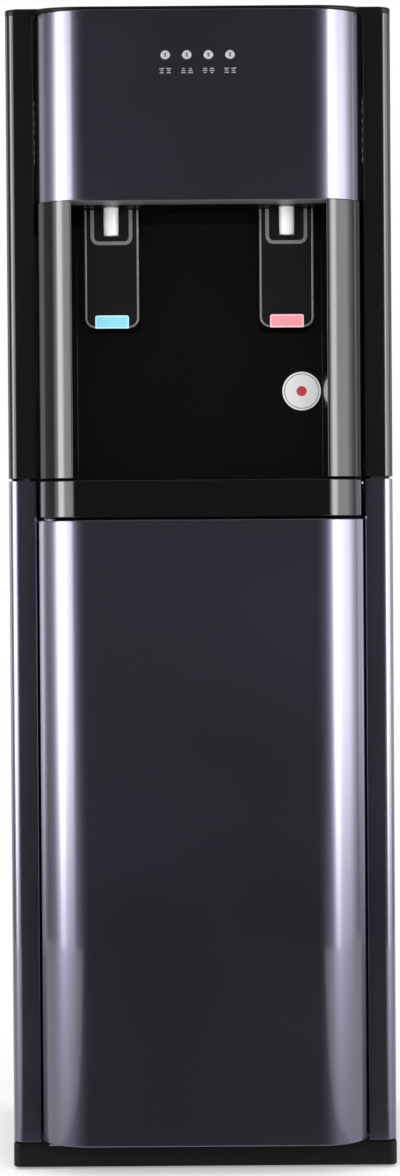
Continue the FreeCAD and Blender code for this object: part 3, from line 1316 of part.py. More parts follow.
base_plinth()
foot_pads()
bay_floor()
mid_deck()
lower_z = (curb_top, lower_top)
upper_z = (upper_bottom, cover_bottom)
for side_name, side in (("left", -1), ("right", 1)):
    side_sheet(f"lower_side_{side_name}", side, lower_z)
    side_sheet(f"upper_side_{side_name}", side, upper_z)
rear_panel("lower_rear_panel", lower_z)
rear_panel("upper_rear_panel", upper_z, rear_openings())
rear_screws()
top_cover()
head_panel()
indicator_lenses()
control_board()
recess_liner()
recess_badge()
head_underplate()
for tap_name, tap_x in tap_sides.items():
    paddle(tap_name, tap_x)
    tab(tap_name, tap_x)
    nozzle(tap_name, tap_x)
    return_spring(tap_name, tap_x)
paddle_pins()
tap_microswitches()
tray_housing()
drip_tray()
drip_grille()
door_skin()
door_liner()
hinge_plates()
door_magnet()
door_switch()
cold_tank()
cold_tank_foam()
tank_lid()
cooling_stack()
fan_frame()
fan_rotor()
hot_tank()
band_heater()
water_pump()
power_supply()
water_hoses()
bottle_probe()
probe_collar()
probe_cradle()
hose_gland()
suction_hose()
power_inlet()
switch_bezels()
for rocker_name, rocker_x in rocker_sides.items():
    rocker(rocker_name, rocker_x)
drain_spout()
drain_cap()
doc.recompute()

for item in doc.Objects:
    for state in ("Invalid", "Error"):
        if state in item.State:
            raise RuntimeError(f"{item.Name} is {state}")
for node in nodes:
    if node.Shape.isNull() or not node.Shape.isValid() or not node.Shape.Solids:
        raise RuntimeError(f"{node.Label} has no valid solid")

os.makedirs("parts", exist_ok=True)
for node in nodes:
    node.Shape.exportStep(f"parts/{node.Label}.step")
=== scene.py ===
"""Bottom load water cooler: the finished look of its pieces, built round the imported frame.

Everything is in metres in the frame's own space: +Z up, the front faces -Y and the floor is z = 0.
"""
import json
import math

import bmesh
import bpy
from bpy.props import FloatProperty, FloatVectorProperty, IntProperty, PointerProperty
from mathutils import Matrix, Vector


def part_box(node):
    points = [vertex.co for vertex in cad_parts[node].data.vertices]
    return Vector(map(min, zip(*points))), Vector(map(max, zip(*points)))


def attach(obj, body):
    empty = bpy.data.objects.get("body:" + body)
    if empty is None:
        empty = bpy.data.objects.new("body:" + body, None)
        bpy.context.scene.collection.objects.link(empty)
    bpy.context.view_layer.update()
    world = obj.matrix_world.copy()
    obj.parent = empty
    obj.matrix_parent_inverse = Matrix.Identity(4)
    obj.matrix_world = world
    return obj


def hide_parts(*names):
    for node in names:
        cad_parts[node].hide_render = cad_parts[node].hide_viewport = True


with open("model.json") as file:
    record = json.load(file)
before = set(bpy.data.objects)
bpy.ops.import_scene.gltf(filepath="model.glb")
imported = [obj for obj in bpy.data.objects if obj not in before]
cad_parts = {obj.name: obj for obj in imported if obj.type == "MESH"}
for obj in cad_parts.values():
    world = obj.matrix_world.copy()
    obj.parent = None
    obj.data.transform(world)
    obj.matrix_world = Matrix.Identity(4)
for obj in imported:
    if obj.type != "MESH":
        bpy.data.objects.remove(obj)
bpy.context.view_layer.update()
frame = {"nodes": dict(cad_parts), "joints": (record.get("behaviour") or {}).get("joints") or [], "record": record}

bl_info = {
    "name": "Bottom load water cooler",
    "version": (1, 0, 0),
    "blender": (4, 5, 0),
    "location": "View3D > Sidebar > Cooler",
    "description": "Builds the finished pieces of a bottom load water cooler round its frame",
    "category": "Object",
}

MM = 0.001
SLOT_OF = {row["node"]: row["material_slot"] for row in frame["record"]["subparts"]}

# places that several pieces share, from the frame
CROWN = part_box("door_skin")[0].y
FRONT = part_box("lower_side_left")[0].y
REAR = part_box("lower_rear_panel")[1].y
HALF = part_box("lower_side_right")[1].x
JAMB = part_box("lower_side_right")[0].x
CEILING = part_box("head_underplate")[0].z
RECESS_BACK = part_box("recess_badge")[1].y

# the curved front: an arc at each end, from the shoulder to the flat middle
ARC_RADIUS = 45 * MM
ARC_MIDDLE = CROWN + ARC_RADIUS
SHOULDER = FRONT - 2 * MM
WALL = 2.4 * MM
CORNER = 9.2 * MM

# how near two vertices are merged, and how near an edge counts as lying at a place
NEAR = 1e-6
CLOSE = 1e-5


# ---------------------------------------------------------------- sizes and colours that a user changes

class CoolerColours(bpy.types.PropertyGroup):
    """The colours of the finishes that show from outside."""

    graphite: FloatVectorProperty(
        name="Graphite", description="Gloss panels of the head and the door",
        subtype="COLOR", size=3, min=0, max=1, default=(0.100, 0.098, 0.136))
    black: FloatVectorProperty(
        name="Black", description="Gloss black mouldings of the recess, the paddles and the tray",
        subtype="COLOR", size=3, min=0, max=1, default=(0.0035, 0.0035, 0.0040))
    cold: FloatVectorProperty(
        name="Cold tab", description="Insert of the cold water paddle",
        subtype="COLOR", size=3, min=0, max=1, default=(0.27, 0.74, 0.90))
    hot: FloatVectorProperty(
        name="Hot tab", description="Insert of the hot water paddle",
        subtype="COLOR", size=3, min=0, max=1, default=(1.0, 0.31, 0.39))


class CoolerSizes(bpy.types.PropertyGroup):
    """Small sizes of the finished pieces."""

    edge: FloatProperty(
        name="Panel edge", description="Rounding of the outer edges of the curved panels",
        subtype="DISTANCE", unit="LENGTH", min=0.0002, max=0.002, default=1.2 * MM)
    arc_steps: IntProperty(
        name="Arc steps", description="Flats along each curved end of a panel", min=8, max=64, default=32)
    bead: FloatProperty(
        name="Paddle bead", description="Width of the raised line round a paddle",
        subtype="DISTANCE", unit="LENGTH", min=0.0005, max=0.003, default=1.7 * MM)
    rib: FloatProperty(
        name="Paddle rib", description="Width of the raised U behind a nozzle",
        subtype="DISTANCE", unit="LENGTH", min=0.001, max=0.006, default=3.2 * MM)


class CoolerStudio(bpy.types.PropertyGroup):
    """The camera and the lights."""

    distance: FloatProperty(
        name="Camera distance", description="From the camera to the plane of the side frames",
        subtype="DISTANCE", unit="LENGTH", min=1, max=6, default=2.756)
    eye_level: FloatProperty(
        name="Camera height", description="Height of the lens above the floor",
        subtype="DISTANCE", unit="LENGTH", min=0, max=2, default=0.542)
    tilt: FloatProperty(
        name="Tilt", description="How far the camera looks down",
        subtype="ANGLE", default=math.radians(1.044))
    roll: FloatProperty(
        name="Roll", description="How far the camera leans",
        subtype="ANGLE", default=math.radians(-0.411))
    lens: FloatProperty(
        name="Lens", description="Focal length in millimetres", min=20, max=200, default=99.96)
    tent: FloatProperty(
        name="Light tent", description="How bright the tent round the cooler is in reflections",
        min=0, max=5, default=1.42)
    world: FloatProperty(
        name="Room light", description="Strength of the even light from all round", min=0, max=2, default=0.8)
    fill: FloatProperty(
        name="Fill", description="Power of the soft front light in watts", min=0, max=500, default=40.0)


def colours():
    return bpy.context.scene.cooler_colours


def sizes():
    return bpy.context.scene.cooler_sizes


def studio():
    return bpy.context.scene.cooler_studio


# ---------------------------------------------------------------- shader helpers

def join(tree, source, target):
    tree.links.new(source, target)


def feed(tree, socket, value):
    """Give an input a plain value or another node's output."""
    if isinstance(value, bpy.types.NodeSocket):
        join(tree, value, socket)
    else:
        socket.default_value = value


def add(tree, kind, settings=(), **inputs):
    """A shader node with its settings, and its inputs fed by name."""
    item = tree.nodes.new(kind)
    for name, value in dict(settings).items():
        setattr(item, name, value)
    for name, value in inputs.items():
        feed(tree, item.inputs[name.replace("_", " ")], value)
    return item


def calculate(tree, operation, *values, kind="ShaderNodeMath"):
    """A Math node with its inputs fed in order."""
    item = add(tree, kind, {"operation": operation})
    for socket, value in zip(item.inputs, values):
        feed(tree, socket, value)
    return item


def calculate_vector(tree, operation, *values):
    """A Vector Math node with its inputs fed in order."""
    return calculate(tree, operation, *values, kind="ShaderNodeVectorMath")


def blend_over(tree, value, start, end, low, high):
    """A number that goes softly from low to high while value goes from start to end."""
    soft = add(tree, "ShaderNodeMapRange", {"interpolation_type": "SMOOTHSTEP"}, Value=value,
               From_Min=start, From_Max=end, To_Min=low, To_Max=high)
    return soft.outputs["Result"]


def colour_ramp(tree, value, stops, interpolation="LINEAR"):
    """The colour that a ramp through the stops has at value; a stop is a place from 0 to 1 and a colour."""
    ramp = add(tree, "ShaderNodeValToRGB", Fac=value)
    ramp.color_ramp.interpolation = interpolation
    elements = ramp.color_ramp.elements
    elements.remove(elements[1])
    for number, (place, colour) in enumerate(stops):
        stop = elements.new(place) if number else elements[0]
        stop.position = place
        stop.color = colour
    return ramp.outputs["Color"]


def noise(tree, scale, stretch=(1, 1, 1), **inputs):
    """Noise on Object coordinates, from 0 to 1."""
    where = add(tree, "ShaderNodeTexCoord")
    mapping = add(tree, "ShaderNodeMapping", Vector=where.outputs["Object"], Scale=stretch)
    texture = add(tree, "ShaderNodeTexNoise", Vector=mapping.outputs["Vector"], Scale=scale, **inputs)
    return texture.outputs["Fac"]


def new_group(name, inputs, outputs):
    """An empty node group with number or colour sockets, and its two ends."""
    tree = bpy.data.node_groups.new(name, "ShaderNodeTree")
    for socket, (kind, value) in inputs.items():
        made = tree.interface.new_socket(name=socket, in_out="INPUT", socket_type=f"NodeSocket{kind}")
        made.default_value = value
    for socket, kind in outputs.items():
        tree.interface.new_socket(name=socket, in_out="OUTPUT", socket_type=f"NodeSocket{kind}")
    return tree, tree.nodes.new("NodeGroupInput"), tree.nodes.new("NodeGroupOutput")


def colour_drift_group():
    """A colour that wanders a little lighter and darker over the surface."""
    tree, inside, outside = new_group(
        "Colour drift",
        {"Colour": ("Color", (0.5, 0.5, 0.5, 1)), "Amount": ("Float", 0.1), "Scale": ("Float", 12)},
        {"Colour": "Color"})
    centred = calculate(tree, "SUBTRACT", noise(tree, inside.outputs["Scale"], Detail=3), 0.5)
    level = calculate(tree, "MULTIPLY_ADD", centred.outputs[0], inside.outputs["Amount"], 1.0)
    shade = calculate_vector(tree, "SCALE", inside.outputs["Colour"])
    join(tree, level.outputs[0], shade.inputs["Scale"])
    join(tree, shade.outputs[0], outside.inputs["Colour"])
    return tree


def handling_group():
    """Roughness with faint smudges."""
    tree, inside, outside = new_group(
        "Handling", {"Roughness": ("Float", 0.2), "Spread": ("Float", 0.06), "Scale": ("Float", 9)},
        {"Roughness": "Float"})
    smudges = noise(tree, inside.outputs["Scale"], Detail=6, Roughness=0.65)
    swing = blend_over(tree, smudges, 0.35, 0.75, 0.0, inside.outputs["Spread"])
    total = calculate(tree, "ADD", swing, inside.outputs["Roughness"])
    join(tree, total.outputs[0], outside.inputs["Roughness"])
    return tree


def grain_group():
    """Two sizes of fine relief, for spray paint and moulded texture."""
    tree, inside, outside = new_group(
        "Grain", {"Fine": ("Float", 900), "Coarse": ("Float", 60), "Mix": ("Float", 0.5)},
        {"Height": "Float"})
    blend = add(tree, "ShaderNodeMix", Factor=inside.outputs["Mix"], A=noise(tree, inside.outputs["Fine"]),
                B=noise(tree, inside.outputs["Coarse"]))
    join(tree, blend.outputs["Result"], outside.inputs["Height"])
    return tree


def brushed_group():
    """Long fine lines along X, as a roller or a brush leaves on metal."""
    tree, inside, outside = new_group(
        "Brushed", {"Scale": ("Float", 400), "Roughness": ("Float", 0.3), "Spread": ("Float", 0.12)},
        {"Height": "Float", "Roughness": "Float"})
    lines = noise(tree, inside.outputs["Scale"], (0.03, 1, 1), Detail=4)
    swing = calculate(tree, "MULTIPLY_ADD", lines, inside.outputs["Spread"], inside.outputs["Roughness"])
    join(tree, lines, outside.inputs["Height"])
    join(tree, swing.outputs[0], outside.inputs["Roughness"])
    return tree


GROUP_MAKERS = {
    "Colour drift": colour_drift_group, "Handling": handling_group,
    "Grain": grain_group, "Brushed": brushed_group,
}


def effect(tree, name, **inputs):
    """Place a shared effect in a material with its own values."""
    shared = bpy.data.node_groups.get(name) or GROUP_MAKERS[name]()
    item = tree.nodes.new("ShaderNodeGroup")
    item.node_tree = shared
    for socket, value in inputs.items():
        item.inputs[socket].default_value = value
    return item


# ---------------------------------------------------------------- finishes

def new_finish(name, colour, metallic=0.0, **principled):
    """A material with one Principled shader; its plain numbers sit on the shader itself."""
    material = bpy.data.materials.new(name)
    material.use_nodes = True
    tree = material.node_tree
    shader = tree.nodes["Principled BSDF"]
    shader.inputs["Base Color"].default_value = (*colour[:3], 1)
    shader.inputs["Metallic"].default_value = metallic
    for socket, value in principled.items():
        shader.inputs[socket.replace("_", " ")].default_value = value
    return material, tree, shader


def tint(tree, shader, colour, amount, scale):
    """Base colour that drifts by amount."""
    drift = effect(tree, "Colour drift", Colour=(*colour[:3], 1), Amount=amount, Scale=scale)
    join(tree, drift.outputs["Colour"], shader.inputs["Base Color"])


def marks(tree, shader, roughness, spread, scale):
    """Roughness that smudges raise by up to spread."""
    handled = effect(tree, "Handling", Roughness=roughness, Spread=spread, Scale=scale)
    join(tree, handled.outputs["Roughness"], shader.inputs["Roughness"])


def relief(tree, shader, fine, coarse, mix, depth, strength):
    """Fine relief of the given depth through a Bump node."""
    grain = effect(tree, "Grain", Fine=fine, Coarse=coarse, Mix=mix)
    bump = add(tree, "ShaderNodeBump", Strength=strength, Distance=depth, Height=grain.outputs["Height"])
    join(tree, bump.outputs["Normal"], shader.inputs["Normal"])


def gloss_graphite(name, colour):
    """Metallic graphite under a clear gloss coat, with a faint paint wave."""
    material, tree, shader = new_finish(
        name, colour, metallic=1.0, Coat_Weight=1.0, Coat_Roughness=0.03, Coat_IOR=1.5)
    tint(tree, shader, colour, 0.06, 900)
    marks(tree, shader, 0.3, 0.03, 7)
    relief(tree, shader, 1400, 9, 0.6, 0.02 * MM, 0.2)
    return material


def gloss_black(name, colour):
    """Polished black moulding: deep, with the slight waviness of a large injection moulding."""
    material, tree, shader = new_finish(name, colour, Specular_IOR_Level=0.38)
    tint(tree, shader, colour, 0.2, 30)
    marks(tree, shader, 0.05, 0.07, 11)
    relief(tree, shader, 260, 14, 0.9, 0.12 * MM, 0.3)
    return material


def sheet_paint(name, colour, roughness):
    """Paint on steel sheet with a fine orange peel."""
    material, tree, shader = new_finish(name, colour, Specular_IOR_Level=0.38)
    tint(tree, shader, colour, 0.10, 20)
    marks(tree, shader, roughness, 0.08, 8)
    relief(tree, shader, 1100, 420, 0.5, 0.05 * MM, 0.35)
    return material


def moulded(name, colour, roughness, spread, depth=0.06, **principled):
    """Plastic from a spark-textured mould; depth is the texture's, in millimetres."""
    material, tree, shader = new_finish(name, colour, **principled)
    tint(tree, shader, colour, 0.12, 25)
    marks(tree, shader, roughness, spread, 14)
    relief(tree, shader, 1500, 700, 0.5, depth * MM, 0.4)
    return material


def bright_metal(name, colour, roughness, spread, scale=350.0):
    """Rolled or brushed metal."""
    material, tree, shader = new_finish(name, colour, metallic=1.0)
    tint(tree, shader, colour, 0.12, 40)
    brushed = effect(tree, "Brushed", Scale=scale, Roughness=roughness, Spread=spread)
    bump = add(tree, "ShaderNodeBump", Strength=0.25, Distance=0.05 * MM, Height=brushed.outputs["Height"])
    join(tree, brushed.outputs["Roughness"], shader.inputs["Roughness"])
    join(tree, bump.outputs["Normal"], shader.inputs["Normal"])
    return material


def clear_tube(name, colour):
    """Milky silicone, a little see-through."""
    material, tree, shader = new_finish(
        name, colour, Subsurface_Weight=0.3, Subsurface_Scale=2 * MM, Transmission_Weight=0.25, IOR=1.41)
    tint(tree, shader, colour, 0.08, 60)
    marks(tree, shader, 0.3, 0.1, 40)
    relief(tree, shader, 800, 200, 0.4, 0.04 * MM, 0.3)
    return material


def foam_block(name, colour):
    """Rigid insulating foam with open pores."""
    material, tree, shader = new_finish(name, colour, Specular_IOR_Level=0.2)
    tint(tree, shader, colour, 0.25, 60)
    marks(tree, shader, 0.8, 0.1, 30)
    relief(tree, shader, 700, 180, 0.5, 0.8 * MM, 0.6)
    return material


def circuit_board(name, colour):
    """Green board with faint copper tracks under the lacquer."""
    material, tree, shader = new_finish(name, colour, Coat_Weight=0.4, Coat_Roughness=0.2)
    lacquer, shaded, copper = [(*[value * level for value in colour], 1) for level in (1, 0.8, 1.8)]
    where = add(tree, "ShaderNodeTexCoord")
    upright = add(tree, "ShaderNodeMapping", Vector=where.outputs["Object"],
                  Rotation=(math.radians(90), 0, 0))
    tracks = add(tree, "ShaderNodeTexBrick", Vector=upright.outputs["Vector"], Scale=160.0, Mortar_Size=0.08,
                 Color1=lacquer, Color2=shaded, Mortar=copper)
    join(tree, tracks.outputs["Color"], shader.inputs["Base Color"])
    marks(tree, shader, 0.35, 0.1, 30)
    return material


def ringed_sticker(name, colour):
    """A white disc with a thin grey ring and a plain red dot in the middle."""
    material, tree, shader = new_finish(name, colour, Coat_Weight=0.3, Coat_Roughness=0.15)
    low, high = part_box("recess_badge")
    radius = (high.x - low.x) / 2
    where = add(tree, "ShaderNodeTexCoord")
    centred = calculate_vector(tree, "SUBTRACT", where.outputs["Object"], (low + high) / 2)
    flat = calculate_vector(tree, "MULTIPLY", centred.outputs[0], (1 / radius, 0, 1 / radius))
    distance = calculate_vector(tree, "LENGTH", flat.outputs[0])
    red, white, grey = (0.62, 0.02, 0.03, 1), (*colour, 1), (0.30, 0.30, 0.31, 1)
    rings = colour_ramp(tree, distance.outputs["Value"],
                        [(0.0, red), (0.26, white), (0.86, grey), (0.91, white)], "CONSTANT")
    join(tree, rings, shader.inputs["Base Color"])
    marks(tree, shader, 0.3, 0.1, 60)
    return material


def make_finish(slot):
    """The material for one of the record's slots, or one of the scene's own names."""
    c = colours()
    makers = {
        "graphite_panel": lambda: gloss_graphite(slot, c.graphite),
        "graphite_sheet": lambda: gloss_graphite(slot, c.graphite),
        "black_sheet": lambda: sheet_paint(slot, (0.0045, 0.0045, 0.0052), 0.13),
        "black_gloss": lambda: gloss_black(slot, c.black),
        "black_satin": lambda: moulded(slot, (0.0028, 0.0028, 0.0032), 0.36, 0.03, Specular_IOR_Level=0.16),
        "white_plastic": lambda: moulded(slot, (0.93, 0.93, 0.925), 0.22, 0.06, 0.03, Subsurface_Weight=0.4,
                                         Subsurface_Scale=3 * MM, Subsurface_Radius=(1, 1, 1)),
        "cyan_plastic": lambda: moulded(slot, c.cold, 0.25, 0.08, 0.03, Subsurface_Weight=0.2,
                                        Subsurface_Scale=1 * MM),
        "pink_plastic": lambda: moulded(slot, c.hot, 0.25, 0.08, 0.03, Subsurface_Weight=0.2,
                                        Subsurface_Scale=1 * MM),
        "lens_clear": lambda: moulded(slot, (0.40, 0.41, 0.44), 0.10, 0.05, 0.005, Coat_Weight=1.0,
                                      Coat_Roughness=0.03),
        "sticker": lambda: ringed_sticker(slot, (0.86, 0.86, 0.86)),
        "zinc_steel": lambda: bright_metal(slot, (0.58, 0.59, 0.61), 0.28, 0.2, 260),
        "stainless": lambda: bright_metal(slot, (0.66, 0.65, 0.63), 0.22, 0.18, 420),
        "foam": lambda: foam_block(slot, (0.78, 0.74, 0.60)),
        "aluminium": lambda: bright_metal(slot, (0.74, 0.75, 0.76), 0.32, 0.15, 500),
        "board_green": lambda: circuit_board(slot, (0.02, 0.16, 0.06)),
        "silicone": lambda: clear_tube(slot, (0.80, 0.82, 0.82)),
        "rubber_black": lambda: moulded(slot, (0.014, 0.014, 0.014), 0.62, 0.15, 0.15),
        "grey_plastic": lambda: moulded(slot, (0.20, 0.20, 0.21), 0.42, 0.12, 0.08),
        "heater_metal": lambda: bright_metal(slot, (0.45, 0.42, 0.38), 0.38, 0.2, 300),
        "red_plastic": lambda: moulded(slot, (0.45, 0.012, 0.012), 0.22, 0.08, 0.03),
        "green_plastic": lambda: moulded(slot, (0.012, 0.22, 0.05), 0.22, 0.08, 0.03),
        "print_grey": lambda: moulded(slot, (0.24, 0.24, 0.26), 0.5, 0.1, 0.02),
        # painted sheen: grey that stands in for the highlights along the paddles' black gloss ridges
        "bead_painted_sheen": lambda: moulded(slot, (0.17, 0.17, 0.175), 0.14, 0.05, 0.01),
        "cold_rim": lambda: moulded(slot, (0.52, 0.88, 0.96), 0.25, 0.08, 0.03),
        "hot_rim": lambda: moulded(slot, (1.0, 0.58, 0.64), 0.25, 0.08, 0.03),
        "paddle_black": lambda: gloss_black(slot, (0.0090, 0.0090, 0.0098)),
        # painted sheen: the head lip's light grey stands in for the light its underside catches from below
        "lip_painted_sheen": lambda: moulded(slot, (0.16, 0.16, 0.17), 0.4, 0.1, 0.04),
        "chrome_ring": lambda: bright_metal(slot, (0.075, 0.075, 0.085), 0.3, 0.05),
        "dark_core": lambda: moulded(slot, (0.10, 0.10, 0.11), 0.3, 0.1, 0.02),
    }
    return makers[slot]()


def finish(slot):
    """The material of a slot, made when it is first asked for."""
    name = "finish_" + slot
    material = bpy.data.materials.get(name)
    if material is None:
        material = make_finish(slot)
        material.name = name
    return material


# ---------------------------------------------------------------- mesh helpers

def corners_of(made):
    """The vertices among what an operator made."""
    return [item for item in made if isinstance(item, bmesh.types.BMVert)]


def everything(bm):
    return bm.verts[:] + bm.edges[:] + bm.faces[:]


def draw_to(bm, vert, place):
    """Extrude a vertex to a new place and give back its new end."""
    made = bmesh.ops.extrude_vert_indiv(bm, verts=[vert])["verts"][0]
    made.co = place
    return made


def draw_line(bm, places):
    """A line through places; gives back its vertices."""
    verts = [bm.verts.new(places[0])]
    for place in places[1:]:
        verts.append(draw_to(bm, verts[-1], place))
    return verts


def draw_plate(bm, places):
    """One flat face with its corners at places; gives back the corners."""
    verts = draw_line(bm, places)
    bm.edges.new((verts[-1], verts[0]))
    bmesh.ops.contextual_create(bm, geom=bm.edges[:])
    return verts


def draw_face(bm, faces, step):
    """Extrude faces along a step and give back the faces at the new end."""
    grown = bmesh.ops.extrude_face_region(bm, geom=faces)["geom"]
    bmesh.ops.translate(bm, vec=step, verts=corners_of(grown))
    return [item for item in grown if isinstance(item, bmesh.types.BMFace)]


def shift(bm, step):
    bmesh.ops.translate(bm, vec=step, verts=bm.verts)


def shift_faces(bm, faces, step):
    """Move faces together, each corner once."""
    bmesh.ops.translate(bm, vec=step, verts=list({vert for face in faces for vert in face.verts}))


def rotate(bm, angle, axis):
    """Turn everything about an axis through the origin."""
    bmesh.ops.rotate(bm, cent=(0, 0, 0), matrix=Matrix.Rotation(angle, 3, axis), verts=bm.verts)


def mirror_x(bm):
    """Add the mirrored half and join it on at x = 0."""
    bmesh.ops.mirror(bm, geom=everything(bm), matrix=Matrix(), merge_dist=NEAR, axis="X")


def round_edges(bm, edges, width, segments=3):
    if edges:
        bmesh.ops.bevel(bm, geom=edges, offset=width, segments=segments, profile=0.5, affect="EDGES",
                        clamp_overlap=True, material=-1)


def round_corners(bm, verts, width, segments=8):
    """Round the corners of a flat outline."""
    bmesh.ops.bevel(bm, geom=verts, offset=width, segments=segments, profile=0.5, affect="VERTICES",
                    clamp_overlap=True, material=-1)


def flat_edges(bm, axis, value):
    """The edges that lie in a plane across an axis."""
    return [edge for edge in bm.edges if all(abs(vert.co[axis] - value) < CLOSE for vert in edge.verts)]


def straight_edges(bm, axis):
    """The edges that run along an axis."""
    others = [number for number in range(3) if number != axis]
    return [edge for edge in bm.edges
            if all(abs(edge.verts[0].co[n] - edge.verts[1].co[n]) < CLOSE for n in others)]


def uprights_at(bm, x, y):
    """The edges that stand at a place or at its mirrored place."""
    return [edge for edge in straight_edges(bm, 2)
            if abs(abs(edge.verts[0].co.x) - x) < CLOSE and abs(edge.verts[0].co.y - y) < CLOSE]


def sharp_edges(bm, degrees):
    """The edges where two faces turn by more than an angle."""
    return [edge for edge in bm.edges if len(edge.link_faces) == 2
            and edge.calc_face_angle(0) > math.radians(degrees)]


def absorb(bm, other):
    """Move another bmesh's geometry into this one."""
    scrap = bpy.data.meshes.new("scrap")
    other.to_mesh(scrap)
    other.free()
    bm.from_mesh(scrap)
    bpy.data.meshes.remove(scrap)


def block(low, high, edge=0.0, segments=2):
    """A box between two corners with its edges rounded."""
    bm = bmesh.new()
    low, high = Vector(low), Vector(high)
    bmesh.ops.create_cube(bm, size=1.0)
    bmesh.ops.scale(bm, vec=high - low, verts=bm.verts)
    shift(bm, (low + high) / 2)
    if edge:
        round_edges(bm, bm.edges[:], edge, segments)
    return bm


def upright_sheet(left, right, y, low, high):
    """A flat rectangle that faces the front."""
    bm = bmesh.new()
    bmesh.ops.create_grid(bm, x_segments=1, y_segments=1, size=0.5)
    rotate(bm, math.radians(90), "X")
    bmesh.ops.scale(bm, vec=(right - left, 1, high - low), verts=bm.verts)
    shift(bm, ((left + right) / 2, y, (low + high) / 2))
    return bm


def turned(profile, centre, axis, steps=48):
    """A solid of revolution: profile is (radius, height) from the bottom of its axis to its top."""
    bm = bmesh.new()
    draw_line(bm, [(radius, 0, height) for radius, height in profile])
    bmesh.ops.spin(bm, geom=bm.verts[:] + bm.edges[:], cent=(0, 0, 0), axis=(0, 0, 1),
                   angle=math.tau, steps=steps, use_merge=True)
    bmesh.ops.remove_doubles(bm, verts=bm.verts, dist=NEAR)
    lean = Vector((0, 0, 1)).rotation_difference(Vector(axis)).to_matrix()
    bmesh.ops.rotate(bm, cent=(0, 0, 0), matrix=lean, verts=bm.verts)
    shift(bm, centre)
    return bm


def rounded_profile(points, radius, steps=3):
    """A turning profile with all its corners but the ends rounded."""
    out = [points[0]]
    for before, here, after in zip(points, points[1:], points[2:]):
        before, here, after = Vector(before), Vector(here), Vector(after)
        reach = min(radius, (before - here).length / 2, (after - here).length / 2)
        start = here + (before - here).normalized() * reach
        end = here + (after - here).normalized() * reach
        for number in range(steps + 1):
            along = number / steps
            out.append(tuple(start.lerp(here, along).lerp(here.lerp(end, along), along)))
    out.append(points[-1])
    return out


def ring_of_ribs(bm, low, high, edge, count, centre, axis):
    """Set copies of a small block evenly round an axis through centre."""
    for number in range(count):
        rib = block(low, high, edge)
        rotate(rib, math.tau * number / count, axis)
        shift(rib, centre)
        absorb(bm, rib)


def frame_joint(name):
    """A joint's row in the frame."""
    return next(joint for joint in frame["joints"] if joint["name"] == name)


def put(name, bm, slot, body, replaces=(), crisp=35.0, finish_name=None):
    """Make the finished piece of a bmesh: normals, shading, finish, body and what it stands for."""
    bmesh.ops.remove_doubles(bm, verts=bm.verts, dist=NEAR)
    bmesh.ops.recalc_face_normals(bm, faces=bm.faces)
    mesh = bpy.data.meshes.new(name)
    bm.to_mesh(mesh)
    bm.free()
    mesh.shade_smooth()
    mesh.set_sharp_from_angle(angle=math.radians(crisp))
    piece = bpy.data.objects.new(name, mesh)
    bpy.context.scene.collection.objects.link(piece)
    even = piece.modifiers.new("Even shading", "WEIGHTED_NORMAL")
    even.keep_sharp = True
    mesh.materials.append(finish(finish_name or slot))
    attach(piece, body)
    if replaces:
        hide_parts(*replaces)
    return piece


def end_arc(radius):
    """How wide the arc at an end of the curved front is, and the angle it sweeps."""
    rise = ARC_MIDDLE - SHOULDER
    run = math.sqrt(radius ** 2 - rise ** 2)
    return run, math.atan2(run, rise)


def curved_plan(bm, half, rear, level, inset=0.0, corners=()):
    """The plan of the curved front as one face: short sides, an arc at each end, flat in the middle.

    corners lists the places between the middle of the back and the shoulder, on the +X side.
    """
    width = half - inset
    run, sweep = end_arc(ARC_RADIUS - inset)
    side = draw_line(bm, [(x, y, level) for x, y in
                          ((0, rear), *(corners or [(width, rear)]), (width, SHOULDER))])
    arc = bmesh.ops.spin(bm, geom=side[-1:], cent=(width - run, ARC_MIDDLE, level), axis=(0, 0, 1),
                         angle=-sweep, steps=sizes().arc_steps)
    draw_to(bm, corners_of(arc["geom_last"])[0], (0, CROWN + inset, level))
    mirror_x(bm)
    return bmesh.ops.contextual_create(bm, geom=bm.edges[:])["faces"][0]


def curved_block(half, rear, low, high, inset=0.0):
    bm = bmesh.new()
    face = curved_plan(bm, half, rear, low, inset)
    draw_face(bm, [face], (0, 0, high - low))
    return bm


def at_back(item, rear):
    return all(abs(vert.co.y - rear) < NEAR for vert in item.verts)


def open_back(bm, rear):
    """Take away the back face, so that a block becomes an open box."""
    bmesh.ops.delete(bm, geom=[face for face in bm.faces if at_back(face, rear)], context="FACES_ONLY")


def curved_shell(half, rear, low, high):
    """A shell with the curved front: rounded outside edges, and its back open."""
    outer = curved_block(half, rear, low, high)
    rim = [edge for level in (low, high) for edge in flat_edges(outer, 2, level) if not at_back(edge, rear)]
    round_edges(outer, rim, sizes().edge)
    open_back(outer, rear)
    inner = curved_block(half, rear, low + WALL, high - WALL, WALL)
    open_back(inner, rear)
    bmesh.ops.reverse_faces(inner, faces=inner.faces)
    absorb(outer, inner)
    bmesh.ops.bridge_loops(outer, edges=[edge for edge in outer.edges if edge.is_boundary])
    return outer


# ---------------------------------------------------------------- operators

class COOLER_OT_dress_frame(bpy.types.Operator):
    """Give every piece of the frame the finish of its material slot"""

    bl_idname = "cooler.dress_frame"
    bl_label = "Dress the frame"

    def execute(self, context):
        for name, node in frame["nodes"].items():
            for holder in node.material_slots:
                holder.material = finish(SLOT_OF[name])
        return {"FINISHED"}


